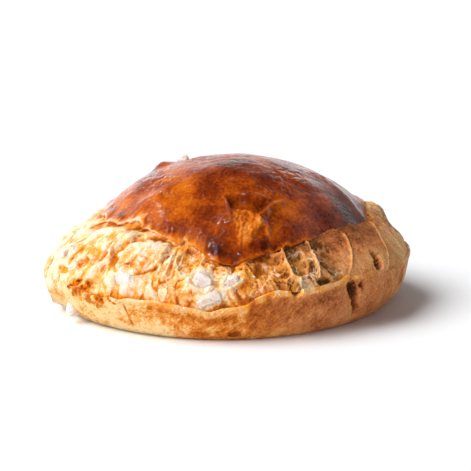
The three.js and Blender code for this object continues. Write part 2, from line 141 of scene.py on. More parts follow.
def cell_depth(p: Array, size: float | Point) -> Array:
    """How far points are from the walls between blown cells.

    Args:
        p: Points in mm, one a row.
        size: The width of the cells, or their width along X, Y and Z.

    Returns:
        0 on a wall and near 1 in a cell's middle, for each point.
    """
    q = p / np.broadcast_to(np.asarray(size, float), 3)
    home = np.floor(q)
    nearest = np.full(len(p), 9.0)
    second = nearest.copy()
    for i in (-1, 0, 1):
        for j in (-1, 0, 1):
            for k in (-1, 0, 1):
                c = home + (i, j, k)
                offset = [hashed(c[:, 0] + 19 * n, c[:, 1] + 7 * n, c[:, 2] + 3 * n) for n in range(3)]
                seed = c + np.stack(offset, axis=1)
                d = np.linalg.norm(q - seed, axis=1)
                second = np.minimum(second, np.maximum(nearest, d))
                nearest = np.minimum(nearest, d)
    return second - nearest


def from_line(p: Array, start: tuple[float, ...], end: tuple[float, ...]) -> Array:
    """Distances from points, one a row, to the straight line between two ends."""
    a, b = np.array(start), np.array(end)
    t = np.clip(((p - a) @ (b - a)) / ((b - a) @ (b - a)), 0, 1)
    return np.linalg.norm(p - a - t[:, None] * (b - a), axis=1)


def turn_to(a: Array, b: float) -> Array:
    """The shortest way in degrees from bearing b to bearing a, from -180 to 180."""
    return (a - b + 180) % 360 - 180


def around(ring: Ring, bearing: Array) -> Array:
    """Reads a closed ring of (bearing, value) pairs as a smooth curve.

    Args:
        ring: The pairs, in order of bearing.
        bearing: Degrees, one for each value wanted.

    Returns:
        The value at each bearing.
    """
    angle = np.array([pair[0] for pair in ring], float)
    value = np.array([pair[1] for pair in ring], float)
    angle = np.concatenate([angle[-2:] - 360, angle, angle[:2] + 360])
    value = np.concatenate([value[-2:], value, value[:2]])
    slope = np.zeros_like(value)
    slope[1:-1] = (value[2:] - value[:-2]) / (angle[2:] - angle[:-2])
    deg = bearing % 360
    i = np.clip(np.searchsorted(angle, deg, side="right") - 1, 1, len(angle) - 3)
    span = angle[i + 1] - angle[i]
    t = (deg - angle[i]) / span
    return (
        (2 * t**3 - 3 * t**2 + 1) * value[i]
        + (t**3 - 2 * t**2 + t) * span * slope[i]
        + (3 * t**2 - 2 * t**3) * value[i + 1]
        + (t**3 - t**2) * span * slope[i + 1]
    )


# ---------------------------------------------------------------- the loaf's form


@dataclass(frozen=True)
class LoafForm:
    """The smooth loaf and the forms of its tears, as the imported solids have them, in mm."""

    height: float = 59.6
    lean: float = 6.0
    middle: tuple[float, float] = (-0.348, -0.599)
    foot_radius: Ring = ((0, 62), (90, 62), (180, 62), (225, 61), (270, 62), (330, 61))
    girth_radius: Ring = (
        (0, 74.5), (45, 72), (90, 70), (135, 71), (160, 72), (180, 74),
        (210, 73.5), (240, 70), (270, 68), (300, 68), (330, 72),
    )
    girth_height: Ring = ((0, 17), (90, 14), (180, 12), (240, 12), (270, 13), (300, 15), (330, 17))
    cap_radius: Ring = (
        (0, 54), (45, 53), (90, 52), (135, 53), (180, 53), (210, 51),
        (232, 49), (250, 51.5), (272, 56), (290, 52), (315, 52), (335, 57),
    )
    cap_height: Ring = (
        (0, 39), (45, 41), (90, 42), (135, 40), (180, 36), (210, 36),
        (232, 36.5), (252, 31), (272, 26.5), (285, 29.5), (300, 31.5), (320, 33), (338, 33),
    )
    lip_height: Ring = (
        (0, 21), (60, 20), (90, 19), (120, 18), (160, 12), (176, 4), (196, 4), (208, 14),
        (225, 14), (252, 13.6), (262, 12.3), (272, 13.2), (285, 18), (300, 17.5), (317, 21), (335, 19),
    )
    flank_lift: Ring = ((0, 0.45), (120, 0.4), (165, 0.35), (200, 0.4), (270, 0.45))
    dome_shape: Ring = (
        (0, 1.05), (45, 0.95), (90, 0.8), (140, 0.75), (180, 0.75), (225, 0.6), (270, 0.6), (315, 0.85),
    )
    sunk: float = 1.3
    lip_curl: float = 1.7
    rim: float = 0.7
    flank_length: float = 26.0
    dome_length: float = 58.0
    skins: tuple[Point, ...] = ((333, 22, 0.12), (72, 18, 0.3))
    cell: Point = (11, 11, 15)
    strands: tuple[tuple[float, ...], ...] = (
        (228, 34, 217, 8, 2.6, 3.0),
        (229, 33, 231, 17, 1.8, 2.0),
        (239, 31, 252, 21, 1.4, 1.6),
        (248, 30, 249, 20, 1.2, 1.4),
        (254, 29, 253, 19, 1.5, 1.8),
        (291, 29, 293, 20, 1.4, 2.0),
        (300, 32, 304, 19, 1.7, 2.6),
        (317, 33, 316, 21, 1.7, 2.2),
        (345, 34, 341, 18, 2.4, 1.4),
        (24, 38, 30, 22, 2.0, 2.0),
        (52, 40, 47, 21, 1.6, 2.2),
        (98, 41, 103, 20, 2.0, 2.4),
        (124, 39, 119, 19, 1.5, 2.0),
        (150, 37, 156, 14, 2.2, 2.4),
        (188, 35, 183, 8, 2.4, 2.2),
    )
    holes: tuple[tuple[float, ...], ...] = (
        (214.5, 23, 3.6, 2.2, 4.5),
        (223, 26.5, 2.6, 3.6, 3.5),
        (231, 33.2, 2.0, 1.5, 4),
        (282, 24.5, 3.6, 2.8, 2.5),
        (292, 18.6, 2.2, 2.4, 2.5),
        (302.3, 20.4, 3.0, 1.3, 4.5),
        (313.2, 17.2, 2.6, 4.0, 5.5),
        (316.8, 17.2, 1.4, 1.6, 3.5),
        (316, 7.2, 1.3, 1.8, 3),
        (327.2, 24.4, 2.4, 3.0, 5.5),
        (349, 34.2, 1.6, 2.6, 2.6),
        (12, 27, 2.4, 2.6, 4.5),
        (60, 30, 2.8, 2.0, 4),
        (110, 27, 3.0, 2.2, 4.5),
        (166, 25, 2.6, 2.4, 4),
    )
    crack_from: tuple[float, float] = (313.4, 16)
    crack_to: tuple[float, float] = (316.4, 5.5)
    crack_half_width: float = 1.1
    crack_deep: float = 3.5
    crack_wander: float = 0.5
    swellings: tuple[tuple[float, ...], ...] = (
        (61, 5, 34.5, 5.2, 3.2),
        (-25.5, 9, 53, 4.6, 2.2),
        (12.2, -44, 40.6, 4.5, 0.9),
        (72, -12, 22, 8, 0.6),
        (-66, 14, 22, 8, 0.8),
    )

    def point(self, bearing: Array, reach: Array) -> Array:
        """The smooth loaf's points.

        Args:
            bearing: Degrees, one a point.
            reach: From 0, the foot, to 3, the apex, one a point.

        Returns:
            Points in mm, one a row.
        """
        foot, girth, low, cap, high, lift, dome = (
            around(ring, bearing)
            for ring in (
                self.foot_radius, self.girth_radius, self.girth_height,
                self.cap_radius, self.cap_height, self.flank_lift, self.dome_shape,
            )
        )
        a = np.clip(reach, 0, 1) * np.pi / 2
        t = np.clip(reach - 1, 0, 1)
        x = np.clip(3 - reach, 0, 1)
        radius = np.where(reach < 1, foot + (girth - foot) * np.sin(a), mix(girth, cap, t * t))
        radius = np.where(reach < 2, radius, cap * x)
        z = np.where(reach < 1, low * (1 - np.cos(a)), low + (high - low) * (2 * lift * t * (1 - t) + t * t))
        z = np.where(reach < 2, z, self.height - (self.height - high) * x * x * mix(x * x, 1, dome))
        turn = np.radians(bearing)
        return np.stack(
            [radius * np.cos(turn) + self.lean * (z / self.height) ** 2, radius * np.sin(turn), z], axis=1
        )

    def outward(self, bearing: Array, reach: Array) -> Array:
        """The way out of the smooth loaf at each bearing and reach, as unit vectors."""
        step, rise = 0.5, 0.01
        reach = np.minimum(reach, 2.98)
        along = self.point(bearing + step, reach) - self.point(bearing - step, reach)
        up = self.point(bearing, reach + rise) - self.point(bearing, np.maximum(0, reach - rise))
        out = np.cross(along, up)
        return out / np.linalg.norm(out, axis=1, keepdims=True)

    def reach_of(self, bearing: Array, height: Array) -> Array:
        """The reach at which the loaf comes up to a height below its cap's edge, at each bearing."""
        low, high, lift = (
            around(ring, bearing) for ring in (self.girth_height, self.cap_height, self.flank_lift)
        )
        share = np.maximum(0, (height - low) / (high - low))
        bend = 1 - 2 * lift
        above = 1 + (np.sqrt(lift * lift + bend * share) - lift) / bend
        below = np.arccos(np.clip(1 - height / low, -1, 1)) / (np.pi / 2)
        return np.where(height < low, below, above)

    def torn(self, bearing: Array) -> Array:
        """How torn the band is at each bearing, from 0, whole skin, to 1."""
        torn = np.ones_like(bearing)
        for centre, half, left in self.skins:
            off = np.abs(turn_to(bearing, centre))
            torn = np.minimum(torn, mix(left, 1, ramp(half - 8, half + 8, off)))
        return torn

    def ragged(self, bearing: Array, size: float, row: float) -> Array:
        """A torn line's wander at each bearing, with teeth about as long as size."""
        turn = np.radians(bearing)
        at = np.stack([66 * np.cos(turn), 66 * np.sin(turn), np.full_like(turn, row)], axis=1)
        return lumps(at, size) + 0.5 * lumps(at, size / 2.3)

    def lip_reach(self, bearing: Array) -> Array:
        """The reach of the base crust's torn lip at each bearing."""
        height = around(self.lip_height, bearing) + 0.9 * self.ragged(bearing, 6, 40)
        return self.reach_of(bearing, np.maximum(2.5, height))

    def cap_reach(self, bearing: Array) -> Array:
        """The reach of the cap's torn edge at each bearing."""
        wander = 1.1 * self.ragged(bearing, 7, 90)
        return 2 + np.where(wander > 0, wander / self.dome_length, wander / self.flank_length)

    def across(self, bearing: Array, p: Array, to: Array | float) -> Array:
        """Distances in mm round the skin from a bearing to each point."""
        return np.radians(turn_to(bearing, to)) * np.hypot(p[:, 0], p[:, 1])

    def strand_rise(self, bearing: Array, p: Array) -> Array:
        """How far the pulled strands of dough stand out at each point."""
        most = np.zeros(len(p))
        for top, top_z, foot, foot_z, width, rise in self.strands:
            t = (p[:, 2] - foot_z) / (top_z - foot_z)
            off = self.across(bearing, p, mix(foot, top, np.clip(t, 0, 1)))
            flare = 1 + 0.8 * (2 * t - 1) ** 2
            ends = ramp(-0.25, 0.05, t) * ramp(1.2, 1, t)
            most = np.maximum(most, rise * ends * bell(width * flare, off))
        return most

    def crack_depth(self, bearing: Array, p: Array) -> Array:
        """How deep the crack down the base crust reaches at each point."""
        t = (self.crack_from[1] - p[:, 2]) / (self.crack_from[1] - self.crack_to[1])
        off = self.across(bearing, p, mix(self.crack_from[0], self.crack_to[0], t))
        off = np.abs(off - self.crack_wander * np.sin(9 * t))
        half = self.crack_half_width * (1.3 - 0.5 * t)
        inside = (t > -0.2) & (t < 1.05)
        return inside * self.crack_deep * (1 - ramp(0, 1, (off / half - 0.3) / 1.3)) * ramp(1.05, 0.8, t)

    def swelling(self, p: Array) -> Array:
        """How far the swellings under the skin push it out at each point."""
        rise = np.zeros(len(p))
        for x, y, z, radius, most in self.swellings:
            rise += most * bell(radius, np.linalg.norm(p - (x, y, z), axis=1))
        return rise * ramp(0, 8, p[:, 2])

    def cells(self, p: Array) -> Array:
        """How far each point is into one of the big blown cells, from 0 on a wall to 1."""
        drift = np.stack([2.5 * lumps(p, 12), 2.5 * lumps(p[:, [1, 2, 0]], 12), np.zeros(len(p))], axis=1)
        return cell_depth(p + drift, self.cell)

    def settle(self, p: Array) -> Array:
        """Moves points from the drawn loaf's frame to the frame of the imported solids, in metres."""
        return (p - (*self.middle, 0)) * MM


# ---------------------------------------------------------------- modelling by hand


def nothing_selected() -> None:
    """Leaves no object selected and none active."""
    for thing in bpy.context.view_layer.objects:
        thing.select_set(False)
    bpy.context.view_layer.objects.active = None


def only(piece: Piece) -> None:
    """Selects one piece alone and makes it active."""
    nothing_selected()
    piece.select_set(True)
    bpy.context.view_layer.objects.active = piece


def select_edges(piece: Piece, wanted: Array) -> None:
    """Selects the edges of a piece whose flags are set, and nothing else of it, in object mode."""
    bpy.context.tool_settings.mesh_select_mode = (False, True, False)
    mesh = piece.data
    mesh.vertices.foreach_set("select", np.zeros(len(mesh.vertices), bool))
    mesh.polygons.foreach_set("select", np.zeros(len(mesh.polygons), bool))
    mesh.edges.foreach_set("select", wanted)
    ends = edge_ends(piece)[wanted].ravel()
    picked = np.zeros(len(mesh.vertices), bool)
    picked[ends] = True
    mesh.vertices.foreach_set("select", picked)


def edge_ends(piece: Piece) -> Array:
    """The two vertices of each edge of a piece."""
    ends = np.zeros(2 * len(piece.data.edges), np.int32)
    piece.data.edges.foreach_get("vertices", ends)
    return ends.reshape(-1, 2)


def places(piece: Piece) -> Array:
    """The places of a piece's vertices, one a row."""
    co = np.zeros(3 * len(piece.data.vertices), np.float32)
    piece.data.vertices.foreach_get("co", co)
    return co.reshape(-1, 3).astype(float)


def place(piece: Piece, co: Array) -> None:
    """Moves a piece's vertices to new places."""
    piece.data.vertices.foreach_set("co", co.astype(np.float32).ravel())
    piece.data.update()


def open_edges(piece: Piece) -> Array:
    """Flags the edges of a piece that only one face uses."""
    loops = np.zeros(len(piece.data.loops), np.int32)
    piece.data.loops.foreach_get("edge_index", loops)
    return np.bincount(loops, minlength=len(piece.data.edges)) == 1


def close_inward(
    piece: Piece, loop: Array, steps: tuple[tuple[float, float], ...], centre: Point
) -> None:
    """Closes an open rim by drawing it in towards the loaf's middle and joining it there.

    Args:
        piece: The piece, in object mode.
        loop: Flags of the rim's edges.
        steps: For each extrusion the share of the radius that is kept, and the move along Z in mm.
        centre: The point in metres that the rim shrinks towards.
    """
    only(piece)
    select_edges(piece, loop)
    bpy.ops.object.mode_set(mode="EDIT")
    for kept, down in steps:
        bpy.ops.mesh.extrude_edges_move()
        bpy.ops.transform.resize(value=(kept, kept, 1), center_override=centre)
        bpy.ops.transform.translate(value=(0, 0, down * MM))
    bpy.ops.mesh.extrude_edges_move()
    bpy.ops.mesh.merge(type="CENTER")
    bpy.ops.mesh.select_all(action="SELECT")
    bpy.ops.mesh.normals_make_consistent(inside=False)
    bpy.ops.object.mode_set(mode="OBJECT")


def paint(piece: Piece, name: str, values: Array) -> None:
    """Stores one number for each vertex of a piece, for its material to read."""
    layer = piece.data.attributes.get(name) or piece.data.attributes.new(name, "FLOAT", "POINT")
    full = np.zeros(len(piece.data.vertices), np.float32)
    full[: len(values)] = values
    layer.data.foreach_set("value", full)


def finish_piece(piece: Piece, material: Material, nodes: list[str]) -> None:
    """Smooths and dresses a piece, and says what it stands for.

    Args:
        piece: The finished mesh.
        material: Its finish.
        nodes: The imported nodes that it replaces.
    """
    only(piece)
    bpy.ops.object.shade_smooth()
    piece.data.materials.clear()
    piece.data.materials.append(material)
    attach(piece, BODY)
    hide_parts(*nodes)
    faces = len(piece.data.polygons)
    log.info("%s: %d faces, stands for %s", piece.name, faces, ", ".join(nodes))


# ---------------------------------------------------------------- finishes


def linear(hex_colour: str) -> tuple[float, float, float, float]:
    """Turns an sRGB hex colour into the linear values that a shader takes."""
    parts = [int(hex_colour[i : i + 2], 16) / 255 for i in (1, 3, 5)]
    lit = [c / 12.92 if c <= 0.04045 else ((c + 0.055) / 1.055) ** 2.4 for c in parts]
    return (*lit, 1.0)


def add_node(tree: Tree, kind: str, out: str = "", **settings: object) -> Socket:
    """Adds one node to a material.

    Args:
        tree: The material's node tree.
        kind: The node's Blender type, without the word ShaderNode.
        out: The identifier of the output that is wanted, where it isn't the first.
        settings: The node's own properties, and its inputs by identifier, with spaces written as
            underscores. An input takes an output, a number, a vector or a hex colour. The stops of a
            ramp are pairs of a place and a hex colour.

    Returns:
        The output, or None for a node that has none.
    """
    node = tree.nodes.new("ShaderNode" + kind)
    inputs = {socket.identifier.replace(" ", "_"): socket for socket in node.inputs}
    for name, value in settings.items():
        if name == "stops":
            elements = node.color_ramp.elements
            while len(elements) < len(value):
                elements.new(0.5)
            for element, (at, colour) in zip(elements, value):
                element.position, element.color = at, linear(colour)
        elif name not in inputs:
            setattr(node, name, value)
        elif isinstance(value, Socket):
            tree.links.new(value, inputs[name])
        else:
            inputs[name].default_value = linear(value) if isinstance(value, str) else value
    outputs = [socket for socket in node.outputs if out in ("", socket.identifier)]
    return outputs[0] if outputs else None


def new_material(name: str) -> tuple[Material, Tree]:
    """An empty material and its tree, cleared of its first nodes."""
    material = bpy.data.materials.new(name)
    material.use_nodes = True
    material.node_tree.nodes.clear()
    return material, material.node_tree


def painted(tree: Tree, *names: str) -> list[Socket]:
    """The values that paint stored under these names."""
    return [add_node(tree, "Attribute", "Fac", attribute_name=name) for name in names]


def summed(tree: Tree, start: object, *terms: tuple[object, object], clamp: bool = False) -> Socket:
    """Adds weighted values to a first one.

    Args:
        tree: The material's node tree.
        start: The first value, a number or an output.
        terms: Pairs of a value and its weight, each a number or an output.
        clamp: Whether the sum is kept from 0 to 1.

    Returns:
        The sum.
    """
    total = start
    for value, weight in terms:
        total = add_node(
            tree, "Math", operation="MULTIPLY_ADD", Value=value, Value_001=weight, Value_002=total
        )
    total.node.use_clamp = clamp
    return total


def layered(tree: Tree, ground: object, *layers: tuple[object, object]) -> Socket:
    """Lays colours over a ground colour.

    Args:
        tree: The material's node tree.
        ground: The first colour, an output or a hex string.
        layers: For each colour how strongly it covers what is under it, and the colour.

    Returns:
        The colour that shows.
    """
    for amount, colour in layers:
        ground = add_node(
            tree, "Mix", "Result_Color", data_type="RGBA", Factor_Float=amount, A_Color=ground, B_Color=colour
        )
    return ground


def roughened(tree: Tree, *layers: tuple[float, float, Socket]) -> Socket:
    """Raises patterns over each other on a smooth surface.

    Args:
        tree: The material's node tree.
        layers: For each pattern its strength, how high it rises in mm, and the pattern.

    Returns:
        The rough surface's normal.
    """
    under = {}
    for strength, rise, pattern in layers:
        normal = add_node(tree, "Bump", Strength=strength, Distance=rise * MM, Height=pattern, **under)
        under = {"Normal": normal}
    return normal


def grain(
    tree: Tree, size: float, stretch: Point = (1, 1, 1), detail: float = 2.0, slant: float = 0.0
) -> Socket:
    """Adds noise in object space.

    Args:
        tree: The material's node tree.
        size: The width of its lumps in mm.
        stretch: How many times longer they are along X, Y and Z.
        detail: How many finer layers lie over them.
        slant: How many degrees the lumps' long axis is turned up from X, as seen from the front.

    Returns:
        The noise, round a half.
    """
    at = add_node(tree, "TexCoord", "Object")
    if slant:
        at = add_node(tree, "Mapping", Rotation=(0, math.radians(slant), 0), Vector=at)
    at = add_node(tree, "Mapping", Scale=tuple(1 / s for s in stretch), Vector=at)
    return add_node(tree, "TexNoise", Scale=1 / (size * MM), Detail=detail, Vector=at)


def swing(tree: Tree, noise: Socket, width: float) -> Socket:
    """Turns noise round a half into a value round 0 that swings by half of width either way."""
    return summed(tree, -width, (noise, 2 * width))


def cell_lines(tree: Tree, size: float, width: float, stretch: Point) -> Socket:
    """Adds thin wandering lines, where bubbles in dough meet.

    Args:
        tree: The material's node tree.
        size: The width of the bubbles in mm.
        width: The width of the lines in mm.
        stretch: How many times longer the bubbles are along X, Y and Z.

    Returns:
        1 on a line and 0 off it. The lines fade out in patches.
    """
    at = add_node(tree, "TexCoord", "Object")
    sway = add_node(tree, "TexNoise", "Color", Scale=0.6 / (size * MM), Detail=3, Vector=at)
    by = (1.2 * size * MM,) * 3
    at = add_node(tree, "VectorMath", operation="MULTIPLY_ADD", Vector=sway, Vector_001=by, Vector_002=at)
    at = add_node(tree, "Mapping", Scale=tuple(1 / s for s in stretch), Vector=at)
    walls = add_node(tree, "TexVoronoi", feature="DISTANCE_TO_EDGE", Scale=1 / (size * MM), Vector=at)
    edge = {"From_Min": width / size, "From_Max": 0.2 * width / size}
    line = add_node(tree, "MapRange", interpolation_type="SMOOTHSTEP", **edge, Value=walls)
    patchy = add_node(tree, "MapRange", From_Min=0.48, From_Max=0.6, Value=grain(tree, 2.2 * size))
    return summed(tree, 0, (line, patchy))


@dataclass(frozen=True)
class EggWashedCrust:
    """Bread crust under baked egg wash: a thin, hard, clear brown varnish over browned dough."""

    stops: Stops = (
        (0, "#f4c29c"), (0.15, "#e28c36"), (0.32, "#cd6812"),
        (0.5, "#b04f0a"), (0.7, "#843009"), (1, "#3c1509"),
    )
    mottle_size: float = 8.0
    mottle: float = 0.42
    fleck_size: float = 1.1
    fleck: float = 0.26
    pimple_size: float = 2.1
    pimple_rise: float = 0.3
    peel_size: float = 1.3
    peel_rise: float = 0.16
    wrinkle_size: float = 2.2
    wrinkle_rise: float = 0.35
    polished: float = 0.05
    dulled: float = 0.22

    def material(self) -> Material:
        """Builds the finish. It reads bake, how brown the crust is, and satin, how dull, from 0 to 1."""
        made, tree = new_material("egg_washed_crust")
        bake, satin = painted(tree, "bake", "satin")
        mottle = swing(tree, grain(tree, self.mottle_size, detail=6), self.mottle)
        fleck = swing(tree, grain(tree, self.fleck_size), self.fleck)
        bake = summed(tree, bake, (mottle, 1), (fleck, 1), clamp=True)
        # Steam raised pimples under the wash, and it dried in fine wrinkles and an orange-peel grain.
        at = add_node(tree, "TexCoord", "Object")
        seeds = add_node(tree, "TexVoronoi", Scale=1 / (self.pimple_size * MM), Vector=at)
        dome = add_node(
            tree, "MapRange", interpolation_type="SMOOTHSTEP", From_Min=0.42, From_Max=0.1, Value=seeds
        )
        some = add_node(tree, "MapRange", From_Min=0.5, From_Max=0.62, Value=grain(tree, 5))
        surface = roughened(
            tree,
            (1.0, self.pimple_rise, summed(tree, 0, (dome, some))),
            (1.0, self.peel_rise, grain(tree, self.peel_size)),
            (0.7, self.wrinkle_rise, grain(tree, self.wrinkle_size, stretch=(4, 2, 1))),
        )
        # The browned dough under the varnish meets no air, so the varnish alone reflects.
        shader = add_node(
            tree, "BsdfPrincipled", Base_Color=add_node(tree, "ValToRGB", stops=self.stops, Fac=bake),
            Normal=surface, Roughness=0.6, IOR=1.45, Specular_IOR_Level=0.05, Coat_Normal=surface,
            Coat_Weight=1.0, Coat_IOR=1.5, Coat_Roughness=summed(tree, self.polished, (satin, self.dulled)),
        )
        add_node(tree, "OutputMaterial", Surface=shader)
        return made


@dataclass(frozen=True)
class TornCrumb:
    """Rich yellow crumb torn open in the oven, and the golden crust that it tears from."""

    crumb_stops: Stops = (
        (0, "#f9e3cb"), (0.2, "#f7ca90"), (0.42, "#f4a644"), (0.68, "#e47e18"), (1, "#a85216"),
    )
    tan_stops: Stops = (
        (0, "#f5d6aa"), (0.25, "#e2b078"), (0.5, "#c98d54"), (0.75, "#9c6636"), (1, "#4a2e14"),
    )
    glossy_stops: Stops = (
        (0, "#fdd9a0"), (0.22, "#f3ac54"), (0.42, "#de7e16"),
        (0.6, "#c4630a"), (0.8, "#9a4204"), (1, "#5a2206"),
    )
    dry_stops: Stops = (
        (0, "#f3cf9e"), (0.25, "#e6ac72"), (0.45, "#d8925a"),
        (0.62, "#c87b48"), (0.8, "#a55c30"), (1, "#57381a"),
    )
    # Painted light and shade: the saturated orange of light glowing through the crumb, in shaded hollows and
    # along the lip's lit crest.
    painted_glow_colour: str = "#f6a024"
    # Painted shade: the orange of shade in the sunken folds between bubbles.
    fold_shade_colour: str = "#ec8618"
    thread_colour: str = "#fdecd0"
    # Painted shade: the brown that hollows and folds take where the crumb is dry.
    tan_shade_colour: str = "#8c5c26"
    line_cover: float = 0.6
    fold_size: float = 4.4
    fold_width: float = 0.45
    thread_size: float = 2.4
    thread_width: float = 0.3
    mottle_size: float = 3.0
    mottle: float = 0.5
    pore_size: float = 0.9
    fleck: float = 0.3
    speck_size: float = 0.7
    speck: float = 0.24
    streak_size: float = 0.9
    streak: float = 0.48
    streak_slant: float = 38.0
    net_size: float = 2.4
    wash_size: float = 1.0

    def material(self) -> Material:
        """Builds the finish. It reads bake, hollow, crust, dry and gloss, each from 0 to 1."""
        made, tree = new_material("torn_crumb_and_crust")
        bake, hollow, crust, dry, gloss = painted(tree, "bake", "hollow", "crust", "dry", "gloss")
        slant = self.streak_slant
        mottle = swing(tree, grain(tree, self.mottle_size, detail=6), self.mottle)
        fleck = swing(tree, grain(tree, self.pore_size), self.fleck)
        speck = swing(tree, grain(tree, self.speck_size, detail=1), self.speck)
        # Painted shade: the sunken folds between bubbles are painted the orange of shade in the crumb, and
        # the raised thin walls round them pale.
        fold = cell_lines(tree, self.fold_size, self.fold_width, (1, 1, 1.8))
        thread = cell_lines(tree, self.thread_size, self.thread_width, (1, 1, 1.6))
        crumb_bake = summed(tree, bake, (mottle, 1), (fleck, 1), clamp=True)
        crumb = layered(
            tree,
            add_node(tree, "ValToRGB", stops=self.crumb_stops, Fac=crumb_bake),
            (dry, add_node(tree, "ValToRGB", stops=self.tan_stops, Fac=crumb_bake)),
            # Painted shade: hollows take the orange glow of shade in the crumb, and tan where it is dry.
            (hollow, layered(tree, self.painted_glow_colour, (dry, self.tan_shade_colour))),
            (summed(tree, 0, (thread, self.line_cover)), self.thread_colour),
            (
                summed(tree, 0, (fold, self.line_cover)),
                layered(tree, self.fold_shade_colour, (dry, self.tan_shade_colour)),
            ),
        )
        # Egg wash ran down the front of the base crust and baked into slanting streaks.
        streak = swing(tree, grain(tree, self.streak_size, (5, 1, 1), detail=3, slant=slant), self.streak)
        blotch = summed(tree, mottle, (streak, 1))
        crust_bake = summed(tree, bake, (blotch, summed(tree, 0.85, (dry, -0.45))), (speck, 1), clamp=True)
        skin = layered(
            tree,
            add_node(tree, "ValToRGB", stops=self.glossy_stops, Fac=crust_bake),
            (dry, add_node(tree, "ValToRGB", stops=self.dry_stops, Fac=crust_bake)),
        )
        # Bubbles of a millimetre or two leave a net of thin walls, finer than the mesh.
        at = add_node(tree, "TexCoord", "Object")
        net = add_node(
            tree, "TexVoronoi", feature="SMOOTH_F1", Scale=1 / (self.net_size * MM), Smoothness=0.2, Vector=at
        )
        surface = roughened(
            tree,
            (0.4, 0.3, summed(tree, 0, (thread, 0.7), (fold, -1))),
            (0.5, 0.5, net),
            (0.3, 0.4, grain(tree, 0.8, (5, 1, 1), slant=slant)),
            (1.0, 0.6, grain(tree, self.pore_size, detail=3)),
        )
        wash = roughened(tree, (1.0, 0.3, grain(tree, self.wash_size, (2.5, 1, 1), slant=slant)))
        shader = add_node(
            tree, "BsdfPrincipled", Base_Color=layered(tree, crumb, (crust, skin)), Normal=surface, IOR=1.4,
            Roughness=summed(tree, 0.75, (gloss, -0.4)), Specular_IOR_Level=0.2, Coat_Normal=wash,
            Coat_Weight=summed(tree, 0, (gloss, 1.2), clamp=True), Coat_Roughness=0.09,
            Subsurface_Weight=0.55, Subsurface_Scale=2.0 * MM, Subsurface_Radius=(1.0, 0.45, 0.12),
        )
        add_node(tree, "OutputMaterial", Surface=shader)
        return made


@dataclass(frozen=True)
class PressedSugar:
    """Nib sugar: white sugar crystals pressed into hard opaque lumps, a little stained by butter."""

    stain_stops: Stops = ((0.45, "#f6e6e0"), (0.75, "#e9c3a2"))
    stain_size: float = 2.4
    crystal_size: float = 0.7
    crystal_rise: float = 0.5

    def material(self) -> Material:
        """Builds the finish: chalky grains with a soft inner glow."""
        made, tree = new_material("pressed_nib_sugar")
        stain_and_shade = add_node(tree, "ValToRGB", stops=self.stain_stops, Fac=grain(tree, self.stain_size, detail=4))
        shader = add_node(
            tree, "BsdfPrincipled", Base_Color=stain_and_shade, Roughness=0.32, IOR=1.54,
            Normal=roughened(tree, (1.0, self.crystal_rise, grain(tree, self.crystal_size))),
            Subsurface_Weight=0.6, Subsurface_Scale=2.5 * MM, Subsurface_Radius=(1.0, 0.9, 0.8),
        )
        add_node(tree, "OutputMaterial", Surface=shader)
        return made


@dataclass(frozen=True)
class StudioPaper:
    """Matt white background paper, with the faint tooth of uncoated stock."""

    tone_stops: Stops = ((0.3, "#f5f6f8"), (0.7, "#f7f8fa"))
    tone_size: float = 40.0

    def material(self) -> Material:
        """Builds the finish."""
        made, tree = new_material("background_paper")
        tone = add_node(tree, "ValToRGB", stops=self.tone_stops, Fac=grain(tree, self.tone_size))
        shader = add_node(tree, "BsdfPrincipled", Roughness=0.9, IOR=1.3, Base_Color=tone)
        add_node(tree, "OutputMaterial", Surface=shader)
        return made


# ---------------------------------------------------------------- the torn loaf


class Zone(Enum):
    """The zones of the torn loaf's skin, from the foot up."""

    BASE = "base crust"
    LIP = "the lip's torn edge"
    CRUMB = "torn crumb"
    TUCK = "crumb tucked under the cap"


@dataclass(frozen=True)
class Bowl:
    """A smooth hollow in the torn side, where a large bubble burst. A negative depth makes a dome."""

    bearing: float
    height: float
    half_width: float
    half_height: float
    deep: float
    # How strongly the bowl's floor is painted with the orange glow of shade in the crumb.
    stain_and_shade: float = 0.5
    grain: float = 0.45


@dataclass(frozen=True)
class Web:
    """A thin wall of pulled dough that stands out of the torn side."""

    top: tuple[float, float]
    foot: tuple[float, float]
    width: float
    rise: float
    bake: float = 0.16


@dataclass(frozen=True)
class Patch:
    """A place with a ragged outline: browned flakes of crust, a scorch mark or a blistered spot."""

    bearing: float
    height: float
    half_width: float
    half_height: float
    bake: float
    flaky: float = 0.0


@dataclass(frozen=True)
class Nib:
    """Where one lump of nib sugar sits: its middle, its own axes and its half sizes along them, in mm."""

    middle: Array
    axes: Array
    half: Array
    cover: float = 1.5
    buried: bool = False

    @classmethod
    def of(cls, node: Piece, form: LoafForm) -> Nib:
        """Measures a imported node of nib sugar, with how high the crumb stands round it."""
        co = places(node) / MM + (*form.middle, 0)
        middle = (co.max(axis=0) + co.min(axis=0)) / 2
        axes = np.linalg.svd(co - middle, full_matrices=False)[2]
        half = np.abs((co - middle) @ axes.T).max(axis=0)
        return cls(middle, axes, half, COLLARS.get(node.name, cls.cover), node.name == BURIED_NIB)

    def seat(self, p: Array) -> Array:
        """How high the crumb stands in a collar round the lump, or over it where it is buried."""
        away = self.away(p) - 0.05
        fall = np.where(away > 0, 0.75, 9.0 if self.buried else 0.3)
        return self.cover * (0.8 + 0.5 * lumps(p, 2.6)) * bell(fall, away)

    def away(self, p: Array) -> Array:
        """How far points are from the lump's skin, as a share of its half size: below 0 inside it."""
        return np.linalg.norm(((p - self.middle) @ self.axes.T) / self.half, axis=1) - 1


